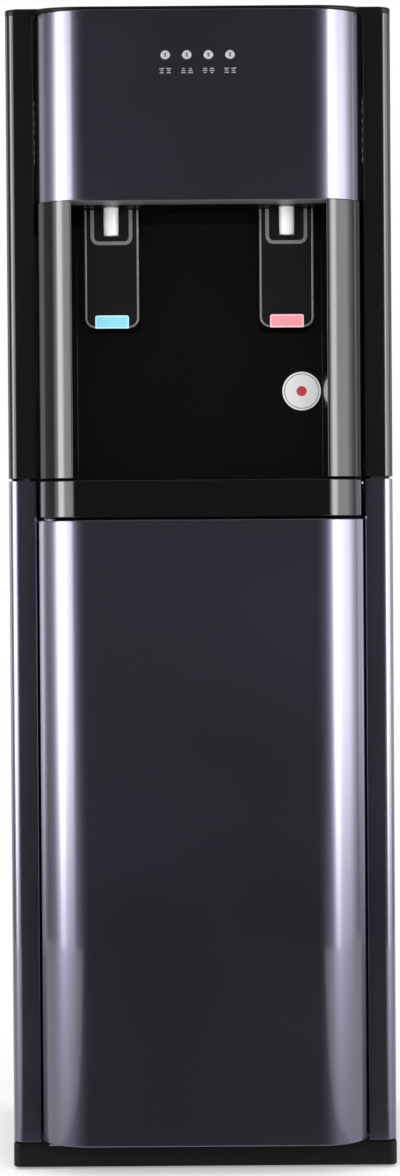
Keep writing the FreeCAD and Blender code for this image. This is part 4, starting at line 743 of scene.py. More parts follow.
class COOLER_OT_door(bpy.types.Operator):
    """Build the curved door and its pressed inner panel"""

    bl_idname = "cooler.door"
    bl_label = "Door"

    def execute(self, context):
        low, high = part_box("door_skin")
        put("door_front", curved_shell(high.x, high.y, low.z, high.z), "graphite_panel", "door",
            ["door_skin"])
        self.inner_panel()
        return {"FINISHED"}

    def inner_panel(self):
        """A moulded panel with two pressed fields, and the bosses that take the hinge pins."""
        low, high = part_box("door_liner")
        front = high.y - 2 * MM
        bm = block((low.x, front, low.z), high)
        bmesh.ops.bisect_plane(bm, geom=everything(bm), plane_co=(low + high) / 2, plane_no=(0, 0, 1))
        fields = [face for face in bm.faces if face.normal.y > 0.9]
        self.press(bm, fields, 14 * MM, -5 * MM)
        self.press(bm, fields, 8 * MM, 2.5 * MM)
        round_edges(bm, sharp_edges(bm, 20), 0.8 * MM)
        x, y, _ = frame_joint("door_hinge")["pos_m"]
        radius, tall = 4 * MM, 12 * MM
        profile = rounded_profile([(0, 0), (radius, 0), (radius, tall), (0, tall)], 0.6 * MM)
        for level in (low.z, high.z - tall):
            absorb(bm, turned(profile, (x, y, level), (0, 0, 1), 32))
            absorb(bm, block((x - radius / 2, y, level), (x + radius / 2, front, level + tall), 0.3 * MM))
        put("door_inner_panel", bm, "grey_plastic", "door", ["door_liner"])

    @staticmethod
    def press(bm, fields, border, depth):
        """Move the middle of each field by depth along Y, inside a sloping border."""
        bmesh.ops.inset_individual(bm, faces=fields, thickness=border)
        shift_faces(bm, fields, (0, depth, 0))


class COOLER_OT_head(bpy.types.Operator):
    """Build the head panel, its lamps and the marks under them"""

    bl_idname = "cooler.head"
    bl_label = "Head panel"

    def execute(self, context):
        low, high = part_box("head_panel")
        flange = 3.5 * MM
        half = high.x - flange
        put("head_front", curved_shell(half, high.y, low.z, high.z), "graphite_panel", "cabinet",
            ["head_panel"])
        self.flanges(half, low.z, high)
        self.lamps()
        self.lip(half, low.z)
        return {"FINISHED"}

    @staticmethod
    def flanges(half, bottom, high):
        """Narrow black returns that close the gaps between the panel and the side frames."""
        gap, depth = 0.2 * MM, 2 * MM
        bm = bmesh.new()
        for side in (-1, 1):
            left, right = sorted((side * (half - WALL), side * (JAMB - gap)))
            absorb(bm, block((left, high.y - depth, bottom + WALL), (right, high.y, high.z - WALL), 0.3 * MM))
        put("head_flanges", bm, "black_satin", "cabinet")

    def lamps(self):
        """Four lamps in dark rings, with a few plain dashes under each."""
        low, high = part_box("indicator_lenses")
        radius = (high.z - low.z) / 2
        count = 4
        pitch = (high.x - low.x - 2 * radius) / (count - 1)
        lenses, rings, cores, prints = bmesh.new(), bmesh.new(), bmesh.new(), bmesh.new()
        for number in range(count):
            place = Vector((low.x + radius + number * pitch, CROWN, (high.z + low.z) / 2))
            absorb(lenses, self.dome(place, radius))
            absorb(rings, self.ring(place, radius))
            absorb(cores, self.core(place))
            self.dashes(prints, place, number)
        put("lamp_lenses", lenses, "lens_clear", "cabinet", ["indicator_lenses"], crisp=50)
        put("lamp_rings", rings, "zinc_steel", "cabinet", finish_name="chrome_ring")
        put("lamp_cores", cores, "black_satin", "cabinet", finish_name="dark_core")
        put("lamp_marks", prints, "sticker", "cabinet", finish_name="print_grey")

    @staticmethod
    def dome(place, radius):
        rim, sunk = radius * 0.87, 1 * MM
        profile = rounded_profile([(0, 0.39 * MM), (radius * 0.5, 0.37 * MM), (radius * 0.66, 0.29 * MM),
                                   (rim, -0.02 * MM), (rim, -sunk), (0, -sunk)], 0.2 * MM)
        return turned(profile, place, (0, -1, 0), 40)

    @staticmethod
    def ring(place, radius):
        bore, sunk, proud = radius * 0.86, 1 * MM, 0.3 * MM
        profile = rounded_profile([(bore, 0), (radius * 0.88, proud), (radius * 0.96, proud), (radius, 0),
                                   (radius * 0.98, -sunk), (bore, -sunk), (bore, 0)], 0.12 * MM)
        return turned(profile, place, (0, -1, 0), 40)

    @staticmethod
    def core(place):
        """The dark upright bar in the middle of a lamp."""
        half = Vector((0.85 * MM, 0, 1.8 * MM))
        proud = Vector((0, 0.395 * MM, 0))
        bm = block(place - half - proud, place + half)
        round_edges(bm, straight_edges(bm, 1), 0.75 * MM, 4)
        return bm

    @staticmethod
    def dashes(bm, place, number):
        """Two columns of three dashes under a lamp; their lengths change from lamp to lamp."""
        lengths = (2.1 * MM, 1.2 * MM, 1.8 * MM)
        proud, sunk = Vector((0, 0.06 * MM, 0)), Vector((0, 0.2 * MM, 0))
        for side in (-1, 1):
            for row in range(3):
                middle = place + Vector((side * 2.9 * MM, 0, -11.4 * MM - row * 1.75 * MM))
                half = Vector((lengths[(row + number) % 3], 0, 0.42 * MM))
                absorb(bm, block(middle - half - proud, middle + half + sunk, 0.05 * MM, 1))

    @staticmethod
    def lip(half, level):
        """The satin strip that closes the head's lower edge from below. Its light grey is a painted sheen: it
        stands in for the light that the underside catches from below.
        """
        low, high = level - 0.3 * MM, level + 1.2 * MM
        bm = curved_block(half, FRONT + 6 * MM, low, high, 1.6 * MM)
        round_edges(bm, flat_edges(bm, 2, low), 0.25 * MM, 2)
        put("head_lip", bm, "grey_plastic", "cabinet", finish_name="lip_painted_sheen")


class COOLER_OT_recess(bpy.types.Operator):
    """Build the gloss moulding of the dispensing recess"""

    bl_idname = "cooler.recess"
    bl_label = "Recess moulding"

    def execute(self, context):
        low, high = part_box("recess_liner")
        flange, column, overlap = 2.5 * MM, 29.5 * MM, 3 * MM
        half = high.x - flange
        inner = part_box("drip_tray")[1].x - column
        run, sweep = end_arc(ARC_RADIUS)
        turn = math.asin((inner - (half - run)) / ARC_RADIUS)
        edge_y = ARC_MIDDLE - ARC_RADIUS * math.cos(turn)
        bm = bmesh.new()
        side = draw_line(bm, [(half, FRONT + overlap, low.z), (half, SHOULDER, low.z)])
        arc = bmesh.ops.spin(bm, geom=side[-1:], cent=(half - run, ARC_MIDDLE, low.z), axis=(0, 0, 1),
                             angle=turn - sweep, steps=sizes().arc_steps)
        rear_corner = draw_to(bm, corners_of(arc["geom_last"])[0], (inner, RECESS_BACK, low.z))
        draw_to(bm, rear_corner, (0, RECESS_BACK, low.z))
        grown = bmesh.ops.extrude_edge_only(bm, edges=bm.edges[:])["geom"]
        bmesh.ops.translate(bm, vec=(0, 0, high.z - low.z), verts=corners_of(grown))
        mirror_x(bm)
        round_edges(bm, uprights_at(bm, inner, edge_y), 2.5 * MM, 8)
        round_edges(bm, uprights_at(bm, inner, RECESS_BACK), 0.15 * MM, 2)
        bmesh.ops.recalc_face_normals(bm, faces=bm.faces)
        piece = put("recess_moulding", bm, "black_gloss", "cabinet", ["recess_liner"])
        solid = piece.modifiers.new("Wall", "SOLIDIFY")
        solid.thickness = 2 * MM
        solid.offset = -1 if self.faces_front(piece) else 1
        solid.use_even_offset = True
        piece.modifiers.move(1, 0)
        self.badge()
        return {"FINISHED"}

    @staticmethod
    def faces_front(piece):
        """Whether the back wall's faces look at the camera side."""
        wall = max(piece.data.polygons, key=lambda face: face.area * abs(face.normal.y))
        return wall.normal.y < 0

    @staticmethod
    def badge():
        """The round sticker, a thin disc on the back wall."""
        low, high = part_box("recess_badge")
        radius = (high.x - low.x) / 2
        sheet = high.y - low.y
        profile = rounded_profile([(0, 0), (radius, 0), (radius, sheet), (0, sheet)], 0.12 * MM)
        centre = ((low.x + high.x) / 2, high.y, (low.z + high.z) / 2)
        put("recess_sticker", turned(profile, centre, (0, -1, 0), 64), "sticker", "cabinet",
            ["recess_badge"])


class COOLER_OT_taps(bpy.types.Operator):
    """Build both paddles with their tabs, and the nozzles in front of them"""

    bl_idname = "cooler.taps"
    bl_label = "Taps"

    def execute(self, context):
        for tap, colour in (("cold", "cyan_plastic"), ("hot", "pink_plastic")):
            self.paddle(tap)
            self.tab(tap, colour)
            self.nozzle(tap)
        return {"FINISHED"}

    def paddle(self, tap):
        """A flat plate with a notch for its nozzle, a hub on its pin and two raised lines on its face."""
        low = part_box(f"{tap}_paddle")[0]
        tab_low, tab_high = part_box(f"{tap}_tab")
        middle = (tab_low.x + tab_high.x) / 2
        half, neck, corner, thick = 23.5 * MM, 18.5 * MM, 9 * MM, 3 * MM
        face_y = tab_high.y
        back_y = face_y + thick
        shoulder = CEILING - 1.5 * MM
        _, hub_y, hub_z = frame_joint(f"{tap}_press")["pos_m"]
        notch = hub_z - 3 * MM
        bm = bmesh.new()
        draw_plate(bm, [(middle + x, back_y, z) for x, z in (
            (-half, low.z), (half, low.z), (half, shoulder), (neck, shoulder),
            (neck, notch), (-neck, notch), (-neck, shoulder), (-half, shoulder))])
        round_corners(bm, [vert for vert in bm.verts if abs(vert.co.z - low.z) < NEAR], corner, 10)
        draw_face(bm, bm.faces[:], (0, -thick, 0))
        round_edges(bm, sharp_edges(bm, 40), 0.5 * MM)
        inset, bead_height = 0.5 * MM, 0.8 * MM
        trim = self.raised_u(middle, face_y, half - inset, low.z + inset, corner - inset,
                             sizes().bead, bead_height)
        rib_half, rib_foot, rib_corner, rib_height = 18 * MM, CEILING - 30.5 * MM, 7 * MM, 1.9 * MM
        absorb(trim, self.raised_u(middle, face_y, rib_half, rib_foot, rib_corner, sizes().rib, rib_height))
        # the beads and the rib are black gloss mouldings; their grey finish is a painted sheen for the highlights
        # along the ridges
        put(f"{tap}_paddle_trim", trim, "black_gloss", f"{tap}_lever", finish_name="bead_painted_sheen")
        radius, length, start = 4.5 * MM, 29 * MM, -18 * MM
        hub = rounded_profile([(0, 0), (radius, 0), (radius, length), (0, length)], 0.5 * MM)
        absorb(bm, turned(hub, (middle + start, hub_y, hub_z), (1, 0, 0), 32))
        put(f"{tap}_push_paddle", bm, "black_gloss", f"{tap}_lever", [f"{tap}_paddle"],
            finish_name="paddle_black")

    @staticmethod
    def raised_u(middle, face_y, half, low, corner, width, height):
        """A raised rounded line in the shape of a U; its legs run up to the ceiling."""
        sunk, spare = 0.4 * MM, 12 * MM
        high = CEILING + spare
        bm = upright_sheet(middle - half, middle + half, face_y + sunk, low, high)
        round_corners(bm, [vert for vert in bm.verts if vert.co.z < (low + high) / 2], corner, 10)
        ring = bmesh.ops.inset_region(bm, faces=bm.faces[:], thickness=width, use_even_offset=True,
                                      use_boundary=True)["faces"]
        bmesh.ops.delete(bm, geom=[face for face in bm.faces if face not in ring], context="FACES")
        draw_face(bm, bm.faces[:], (0, -sunk - height, 0))
        round_edges(bm, flat_edges(bm, 1, face_y - height), min(height, width / 2) * 0.9, 5)
        cut = bmesh.ops.bisect_plane(bm, geom=everything(bm), plane_co=(0, 0, CEILING - 0.5 * MM),
                                     plane_no=(0, 0, 1), clear_outer=True)["geom_cut"]
        bmesh.ops.holes_fill(bm, edges=[item for item in cut if isinstance(item, bmesh.types.BMEdge)])
        return bm

    @staticmethod
    def tab(tap, slot):
        """The coloured insert: a plate with a paler rim round its sunk face."""
        low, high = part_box(f"{tap}_tab")
        corner, rim, sunk = 2 * MM, 1.3 * MM, 0.3 * MM
        bm = upright_sheet(low.x, high.x, high.y, low.z, high.z)
        round_corners(bm, [vert for vert in bm.verts if vert.co.z > (low.z + high.z) / 2], corner, 6)
        front = draw_face(bm, bm.faces[:], (0, low.y - high.y, 0))
        bmesh.ops.inset_region(bm, faces=front, thickness=rim, use_even_offset=True)
        for face in bm.faces:
            face.material_index = 0 if face in front else 1
        shift_faces(bm, front, (0, sunk, 0))
        round_edges(bm, sharp_edges(bm, 40), 0.3 * MM, 2)
        piece = put(f"{tap}_insert", bm, slot, f"{tap}_lever", [f"{tap}_tab"])
        piece.data.materials.append(finish(f"{tap}_rim"))

    @staticmethod
    def nozzle(tap):
        """A white spout with its bore, the flange that seats on the ceiling and the barb above it."""
        low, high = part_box(f"{tap}_nozzle")
        centre = ((low.x + high.x) / 2, (low.y + high.y) / 2, low.z)
        length = high.z - low.z
        ceiling_sheet = 3 * MM
        seat = CEILING + ceiling_sheet - low.z
        top = seat + 1.5 * MM
        outer, bore, flange, barb, depth = 6.5 * MM, 3.5 * MM, 9 * MM, 4 * MM, 8 * MM
        profile = rounded_profile([
            (bore, depth), (bore, 0), (outer - 0.3 * MM, 0), (outer, 6 * MM), (outer, seat),
            (flange, seat), (flange, top), (barb, top), (barb, length), (0, length)], 0.35 * MM)
        put(f"{tap}_spout", turned([(0, depth), *profile], centre, (0, 0, 1), 48), "white_plastic", "cabinet",
            [f"{tap}_nozzle"])


class COOLER_OT_tray(bpy.types.Operator):
    """Build the pull-out drip tray and its slotted grille"""

    bl_idname = "cooler.tray"
    bl_label = "Drip tray"

    def execute(self, context):
        low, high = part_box("drip_tray")
        bm = curved_shell(high.x, FRONT, low.z, high.z)
        absorb(bm, self.basin(low, high))
        put("tray_drawer", bm, "black_gloss", "tray", ["drip_tray"])
        self.grille()
        return {"FINISHED"}

    @staticmethod
    def basin(low, high):
        """The open box behind the curved front, which catches the drips under the grille."""
        half, wall, grille = 103.5 * MM, 1.8 * MM, 2.5 * MM
        floor = low.z + 0.8 * MM
        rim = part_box("drip_grille")[1].z - grille
        bm = block((-half, FRONT - WALL, floor), (half, high.y, rim))
        mouth = [face for face in bm.faces if face.normal.z > 0.9]
        bmesh.ops.inset_region(bm, faces=mouth, thickness=wall, use_even_offset=True)
        draw_face(bm, mouth, (0, 0, floor + wall - rim))
        bmesh.ops.delete(bm, geom=[face for face in mouth if face.is_valid], context="FACES_ONLY")
        corners = [edge for edge in straight_edges(bm, 2)
                   if abs(abs(edge.verts[0].co.x) - (half - wall)) < CLOSE]
        round_edges(bm, corners, 4 * MM, 5)
        return bm

    @staticmethod
    def grille():
        """A plate with a row of round-ended slots between its rims."""
        low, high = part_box("drip_grille")
        slots, slot, pitch, rim, sheet = 21, 4 * MM, 9 * MM, 7 * MM, 2.5 * MM
        columns = [low.x]
        for number in range(slots):
            middle = pitch * (number - (slots - 1) / 2)
            columns += [middle - slot / 2, middle + slot / 2]
        columns.append(high.x)
        rows = [low.y, low.y + rim, high.y - rim, high.y]
        bm = bmesh.new()
        bmesh.ops.create_grid(bm, x_segments=len(columns) - 1, y_segments=len(rows) - 1, size=1)
        across = sorted({round(vert.co.x, 5) for vert in bm.verts})
        along = sorted({round(vert.co.y, 5) for vert in bm.verts})
        for vert in bm.verts:
            column, row = across.index(round(vert.co.x, 5)), along.index(round(vert.co.y, 5))
            vert.co = (columns[column], rows[row], high.z)
        holes = []
        for face in bm.faces:
            centre = face.calc_center_median()
            column = sum(1 for x in columns if x < centre.x) - 1
            if rows[1] < centre.y < rows[2] and column % 2 == 1:
                holes.append(face)
        bmesh.ops.delete(bm, geom=holes, context="FACES")
        draw_face(bm, bm.faces[:], (0, 0, -sheet))
        ends = [edge for edge in straight_edges(bm, 2)
                if rows[0] < edge.verts[0].co.y < rows[3] and abs(edge.verts[0].co.x) < columns[-2] + NEAR]
        round_edges(bm, ends, slot * 0.45, 4)
        brim = [edge for edge in sharp_edges(bm, 60)
                if all(abs(vert.co.z - high.z) < NEAR for vert in edge.verts)]
        round_edges(bm, brim, 0.4 * MM, 2)
        put("grille_plate", bm, "black_satin", "grille", ["drip_grille"])


class COOLER_OT_cabinet(bpy.types.Operator):
    """Build the plinth, the four side frames and the top cover"""

    bl_idname = "cooler.cabinet"
    bl_label = "Cabinet"

    def execute(self, context):
        self.plinth()
        for level in ("lower", "upper"):
            for side in ("left", "right"):
                self.side_frame(f"{level}_side_{side}", -1 if side == "left" else 1)
        self.cover()
        return {"FINISHED"}

    @staticmethod
    def plinth():
        """A moulded base, rounder in front, with a low step that the frames stand on."""
        low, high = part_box("base_plinth")
        step, overlap = 1.5 * MM, 1 * MM
        top = high.z - step
        bm = block(low, (high.x, high.y, top))
        round_edges(bm, uprights_at(bm, high.x, low.y), 6 * MM, 10)
        round_edges(bm, uprights_at(bm, high.x, high.y), 2 * MM, 4)
        round_edges(bm, flat_edges(bm, 2, low.z), 2.2 * MM, 4)
        round_edges(bm, flat_edges(bm, 2, top), 0.8 * MM, 3)
        absorb(bm, block((low.x + step, low.y + step, top - overlap), (high.x - step, high.y - step, high.z)))
        put("plinth_moulding", bm, "black_satin", "cabinet", ["base_plinth"])

    @staticmethod
    def side_frame(node, side):
        """One bent sheet with a pillar in front and a flange behind, its edges folded softly."""
        low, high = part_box(node)
        sheet = 1.2 * MM
        jamb_rear = FRONT + 32 * MM
        rear = high.y
        flange = HALF - 14 * MM
        places = [(JAMB, jamb_rear), (JAMB, FRONT), (HALF, FRONT), (HALF, rear), (flange, rear),
                  (flange, rear - sheet), (HALF - sheet, rear - sheet), (HALF - sheet, FRONT + sheet),
                  (JAMB + sheet, FRONT + sheet), (JAMB + sheet, jamb_rear)]
        radii = {1: 2 * MM, 2: CORNER, 7: CORNER - sheet, 8: 0.8 * MM, 3: 1.5 * MM}
        bm = bmesh.new()
        corners = draw_plate(bm, [(side * x, y, low.z) for x, y in places])
        for number, radius in radii.items():
            round_corners(bm, [corners[number]], radius, 8)
        draw_face(bm, bm.faces[:], (0, 0, high.z - low.z))
        bmesh.ops.recalc_face_normals(bm, faces=bm.faces)
        ends = [edge for level in (low.z, high.z) for edge in flat_edges(bm, 2, level)]
        round_edges(bm, ends, 0.45 * MM, 2)
        put(node.replace("_side_", "_frame_"), bm, SLOT_OF[node], "cabinet", [node])

    @staticmethod
    def cover():
        """The flat top, whose nose over the head slopes down a little."""
        low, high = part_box("top_cover")
        nose, slope, lift = 135 * MM, 2.6 * MM, 1 * MM
        bm = bmesh.new()
        curved_plan(bm, nose, high.y, low.z, corners=[(HALF, high.y), (HALF, FRONT), (nose, FRONT)])
        for y, radius, segments in ((FRONT, CORNER, 10), (high.y, 2 * MM, 4)):
            round_corners(bm, [vert for vert in bm.verts if abs(abs(vert.co.x) - HALF) < NEAR
                               and abs(vert.co.y - y) < NEAR], radius, segments)
        draw_face(bm, bm.faces[:], (0, 0, high.z - low.z))
        bmesh.ops.bisect_plane(bm, geom=everything(bm), plane_co=(0, FRONT, 0), plane_no=(0, 1, 0))
        for vert in bm.verts:
            if vert.co.y < FRONT and vert.co.z > high.z - NEAR:
                vert.co.z -= slope * (FRONT - vert.co.y) / (FRONT - CROWN)
        rim = [edge for edge in sharp_edges(bm, 60)
               if all(vert.co.z > low.z + lift for vert in edge.verts)
               and abs(edge.verts[0].co.z - edge.verts[1].co.z) < lift]
        round_edges(bm, rim, 1.6 * MM, 4)
        for vert in bm.verts:
            vert.co.z = min(vert.co.z, high.z)
        put("cover_moulding", bm, "black_satin", "cabinet", ["top_cover"])


class COOLER_OT_rear(bpy.types.Operator):
    """Build the rear screws and the fittings on the back"""

    bl_idname = "cooler.rear"
    bl_label = "Rear fittings"

    def execute(self, context):
        self.screws()
        self.cap()
        return {"FINISHED"}

    def screws(self):
        """A pan head screw in the place of each of the frame's screws, found by the corners of its head."""
        node = frame["nodes"]["rear_screws"]
        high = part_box("rear_screws")[1]
        radius = 3.6 * MM
        x = high.x - radius
        least_spacing = 20 * MM
        rows = []
        for level in sorted({round(vert.co.z, 4) for vert in node.data.vertices
                             if abs(vert.co.y - high.y) < CLOSE and abs(vert.co.x - x) < 0.3 * MM}):
            if not rows or level - rows[-1] > least_spacing:
                rows.append(level)
        bm = bmesh.new()
        for side in (-1, 1):
            for number, row in enumerate(rows):
                centre = (side * x, REAR, self.middle_of(node, side * x, row))
                absorb(bm, self.screw(radius, high.y - REAR, centre, number * 37 + side * 11))
        put("panel_screws", bm, "zinc_steel", "cabinet", ["rear_screws"])

    @staticmethod
    def middle_of(node, x, near):
        """The height of the screw's axis, from the corners of its head."""
        heights = [vert.co.z for vert in node.data.vertices
                   if abs(vert.co.x - x) < 4 * MM and abs(vert.co.z - near) < 9 * MM]
        return (min(heights) + max(heights)) / 2

    @staticmethod
    def screw(radius, height, centre, degrees):
        """A pan head turned to its own angle, with a cross recess."""
        profile = [(0, height), (radius * 0.5, height * 0.96), (radius * 0.82, height * 0.72),
                   (radius, height * 0.25), (radius, 0), (0, 0)]
        reach, half_slot = radius * 0.55, 0.35 * MM
        bm = turned(profile, (0, 0, 0), (0, 0, 1), 24)
        for angle in (0, 90):
            slot = block((-reach, -half_slot, height * 0.5), (reach, half_slot, height * 0.99))
            rotate(slot, math.radians(angle), "Z")
            bmesh.ops.reverse_faces(slot, faces=slot.faces)
            absorb(bm, slot)
        rotate(bm, math.radians(degrees), "Z")
        rotate(bm, math.radians(-90), "X")
        shift(bm, centre)
        return bm

    @staticmethod
    def cap():
        """The drain cap with its gripping ribs."""
        low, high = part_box("drain_cap")
        radius = (high.x - low.x) / 2
        length = high.y - low.y
        centre = ((low.x + high.x) / 2, low.y, (low.z + high.z) / 2)
        inner, depth, body = 6.1 * MM, 3.5 * MM, radius * 0.93
        profile = rounded_profile([(inner, depth), (inner, 0), (body, 0), (body, length), (0, length)],
                                  0.8 * MM)
        bm = turned([(0, depth), *profile], centre, (0, 1, 0), 48)
        rib_low, rib_high = (radius * 0.9, 0.3 * MM, -0.5 * MM), (radius, length - 1.2 * MM, 0.5 * MM)
        ring_of_ribs(bm, rib_low, rib_high, 0.25 * MM, 18, centre, "Y")
        put("drain_plug", bm, "grey_plastic", "cap", ["drain_cap"])


class COOLER_OT_bay(bpy.types.Operator):
    """Build the ribbed collar of the bottle probe"""

    bl_idname = "cooler.bay"
    bl_label = "Bottle bay"

    def execute(self, context):
        low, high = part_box("probe_collar")
        centre = ((low.x + high.x) / 2, (low.y + high.y) / 2, low.z)
        radius = (high.x - low.x) / 2
        height = high.z - low.z
        wall = 2.2 * MM
        stem = 6.05 * MM
        body = radius * 0.975
        crown = height - wall * 2
        profile = rounded_profile([
            (stem, 0), (stem + wall, 0), (stem + wall, crown), (body - wall, crown),
            (body - wall, 0), (body, 0), (body, height), (stem, height)], 0.8 * MM)
        bm = turned([*profile, profile[0]], centre, (0, 0, 1), 64)
        rib_low, rib_high = (body - 0.3 * MM, -0.7 * MM, 0.8 * MM), (radius, 0.7 * MM, height - 1.6 * MM)
        ring_of_ribs(bm, rib_low, rib_high, 0.3 * MM, 36, centre, "Z")
        put("bottle_cap", bm, "grey_plastic", "probe", ["probe_collar"])
        return {"FINISHED"}


# brightness of the light tent by the angle from the front, in degrees
TENT_PEAK = 16.0
TENT_LEFT = ((31, 0.055), (35, 4.5), (50, 5.5), (54, 13), (62, 13), (66, 3.6), (76, 0.4), (99, 0.4),
             (107, 1.8), (115, 2.6), (121, 0.3))
TENT_RIGHT = ((36, 0.055), (40, 5.0), (43, 12), (50, 12), (54, 5.0), (74, 4.6), (88, 1.5), (99, 0.4),
              (104, 1.6), (112, 1.6), (118, 0.3))


def seen_directly(tree, otherwise, value):
    """A strength that is value for the camera, reflections and glass, and another one for diffuse light."""
    path = add(tree, "ShaderNodeLightPath")
    mirrored = calculate(tree, "MAXIMUM", path.outputs["Is Camera Ray"], path.outputs["Is Glossy Ray"])
    seen = calculate(tree, "MAXIMUM", mirrored.outputs[0], path.outputs["Is Transmission Ray"])
    strength = add(tree, "ShaderNodeMapRange", Value=seen.outputs[0], To_Min=otherwise, To_Max=value)
    return strength.outputs["Result"]


class COOLER_OT_stage(bpy.types.Operator):
    """Set up the pale floor, the soft light and the camera"""

    bl_idname = "cooler.stage"
    bl_label = "Stage"

    def execute(self, context):
        scene = context.scene
        scene.view_settings.view_transform = "Standard"
        self.world(scene)
        self.floor()
        self.tent()
        self.floor_card()
        self.fill(scene)
        self.camera(scene)
        return {"FINISHED"}

    @staticmethod
    def world(scene):
        """White to the camera and in reflections, a little dimmer as the room's own light."""
        scene.world = bpy.data.worlds.new("White room")
        scene.world.use_nodes = True
        tree = scene.world.node_tree
        back = tree.nodes["Background"]
        back.inputs["Color"].default_value = (1, 1, 1, 1)
        join(tree, seen_directly(tree, studio().world, 1.0), back.inputs["Strength"])

    def floor(self):
        """A pale floor that keeps the cooler's shadow."""
        bm = bmesh.new()
        bmesh.ops.create_grid(bm, x_segments=2, y_segments=2, size=40)
        material, tree, shader = new_finish("pale_floor", (0.93, 0.93, 0.93), Roughness=0.9,
                                            Specular_IOR_Level=0.0, Emission_Color=(1, 1, 1, 1))
        join(tree, seen_directly(tree, 0.0, 0.28), shader.inputs["Emission Strength"])
        self.stage_piece("floor", bm, material)

    def tent(self):
        """Cloth wall round the front and the sides that only reflections see."""
        reach, foot, top, half_sweep = 1.6, 0.01, 2.3, math.radians(125)
        bm = bmesh.new()
        draw_line(bm, [(0, -reach, foot), (0, -reach, top)])
        rotate(bm, -half_sweep, "Z")
        bmesh.ops.spin(bm, geom=bm.verts[:] + bm.edges[:], cent=(0, 0, 0), axis=(0, 0, 1),
                       angle=half_sweep * 2, steps=100)
        self.only_reflected(self.stage_piece("light_tent", bm, self.tent_cloth()))

    @staticmethod
    def tent_cloth():
        """A glow as of lamps behind cloth, weaker at the foot and dark above the cooler."""
        material = bpy.data.materials.new("tent_cloth")
        material.use_nodes = True
        tree = material.node_tree
        tree.nodes.remove(tree.nodes["Principled BSDF"])
        where = add(tree, "ShaderNodeTexCoord")
        place = add(tree, "ShaderNodeSeparateXYZ", Vector=where.outputs["Object"])
        ahead = calculate(tree, "MULTIPLY", place.outputs["Y"], -1)
        angle = calculate(tree, "ARCTAN2", place.outputs["X"], ahead.outputs[0])
        turn = add(tree, "ShaderNodeMapRange", Value=angle.outputs[0], From_Min=-math.pi, From_Max=math.pi)
        levels = sorted([(-degrees, level) for degrees, level in TENT_LEFT] + list(TENT_RIGHT))
        stops = [((degrees + 180) / 360, (*[level / TENT_PEAK] * 3, 1)) for degrees, level in levels]
        shade = colour_ramp(tree, turn.outputs["Result"], stops)
        foot = blend_over(tree, place.outputs["Z"], 0, 0.35, 0.3, 1)
        above = blend_over(tree, place.outputs["Z"], 1.22, 1.36, 1, 0.06)
        height = calculate(tree, "MULTIPLY", foot, above)
        strength = calculate(tree, "MULTIPLY", height.outputs[0], TENT_PEAK * studio().tent)
        glow = add(tree, "ShaderNodeEmission", Color=shade, Strength=strength.outputs[0])
        join(tree, glow.outputs[0], tree.nodes["Material Output"].inputs["Surface"])
        return material

    def floor_card(self):
        """Dark card on the floor in front, so that the lower door doesn't mirror the pale floor."""
        near_y, far_y, level = FRONT - 0.06, -2.8, 0.004
        near_half, far_half = 0.24, 0.75
        bm = bmesh.new()
        draw_line(bm, [(x, y, level) for x, y in
                       ((0, near_y), (near_half, near_y), (far_half, far_y), (0, far_y))])
        mirror_x(bm)
        bmesh.ops.contextual_create(bm, geom=bm.edges[:])
        material = new_finish("card_black", (0.012, 0.012, 0.013), Roughness=0.9)[0]
        self.only_reflected(self.stage_piece("floor_card", bm, material))

    @staticmethod
    def only_reflected(card):
        card.visible_camera = False
        card.visible_diffuse = False
        card.visible_transmission = False
        card.visible_shadow = False

    @staticmethod
    def stage_piece(name, bm, material):
        """A piece of the stage, which isn't part of the cooler."""
        mesh = bpy.data.meshes.new(name)
        bm.to_mesh(mesh)
        bm.free()
        mesh.materials.append(material)
        piece = bpy.data.objects.new(name, mesh)
        bpy.context.scene.collection.objects.link(piece)
        return piece

    @staticmethod
    def fill(scene):
        """One broad soft light from the front; it doesn't show in reflections."""
        light = bpy.data.lights.new("front_fill", "AREA")
        light.shape = "RECTANGLE"
        light.size = 1.8
        light.size_y = 1.4
        light.energy = studio().fill
        lamp = bpy.data.objects.new("front_fill", light)
        scene.collection.objects.link(lamp)
        place, aim = Vector((0, -2.6, 0.72)), Vector((0, FRONT, 0.66))
        lamp.location = place
        lamp.rotation_euler = (aim - place).to_track_quat("-Z", "Y").to_euler()
        lamp.visible_camera = False
        lamp.visible_glossy = False

    @staticmethod
    def camera(scene):
        """The photograph's view: a long lens a little above half height, which looks slightly down."""
        off_centre, image_height = -1.43, 1176
        data = bpy.data.cameras.new("camera")
        data.lens = studio().lens
        data.sensor_fit = "AUTO"
        data.sensor_width = 36
        data.shift_x = off_centre / image_height
        camera = bpy.data.objects.new("camera", data)
        scene.collection.objects.link(camera)
        look = Matrix.Rotation(math.radians(90) - studio().tilt, 4, "X")
        lean = Matrix.Rotation(studio().roll, 4, "Z")
        place = Matrix.Translation((0, FRONT - studio().distance, studio().eye_level))
        camera.matrix_world = place @ look @ lean
        scene.camera = camera


class COOLER_PT_panel(bpy.types.Panel):
    """Lists the cooler's operators and settings"""

    bl_idname = "COOLER_PT_panel"
    bl_label = "Water cooler"
    bl_space_type = "VIEW_3D"
    bl_region_type = "UI"
    bl_category = "Cooler"

    def draw(self, context):
        layout = self.layout
        for operator in OPERATORS:
            layout.operator(operator.bl_idname)
        for holder in (colours(), sizes(), studio()):
            box = layout.box()
            for name in holder.__annotations__:
                box.prop(holder, name)


OPERATORS = (
    COOLER_OT_dress_frame, COOLER_OT_door, COOLER_OT_head, COOLER_OT_recess, COOLER_OT_taps, COOLER_OT_tray,
    COOLER_OT_cabinet, COOLER_OT_rear, COOLER_OT_bay, COOLER_OT_stage,
)
GROUPS = {"cooler_colours": CoolerColours, "cooler_sizes": CoolerSizes, "cooler_studio": CoolerStudio}


def register():
    for item in (*GROUPS.values(), *OPERATORS, COOLER_PT_panel):
        bpy.utils.register_class(item)
    for name, group in GROUPS.items():
        setattr(bpy.types.Scene, name, PointerProperty(type=group))


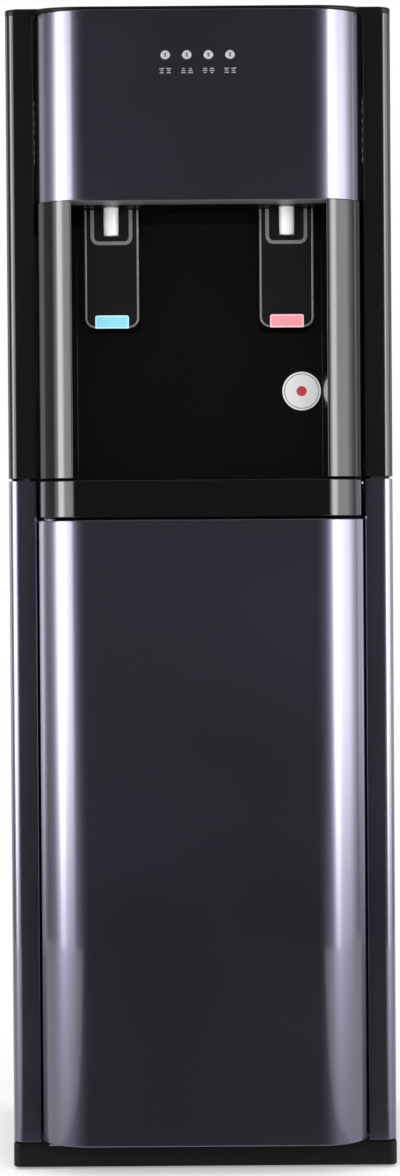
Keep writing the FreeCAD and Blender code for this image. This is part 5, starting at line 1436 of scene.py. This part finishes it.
def unregister():
    for name in GROUPS:
        delattr(bpy.types.Scene, name)
    for item in reversed((*GROUPS.values(), *OPERATORS, COOLER_PT_panel)):
        bpy.utils.unregister_class(item)


def main():
    register()
    for operator in OPERATORS:
        category, name = operator.bl_idname.split(".")
        getattr(getattr(bpy.ops, category), name)()


if __name__ == "__main__":
    main()
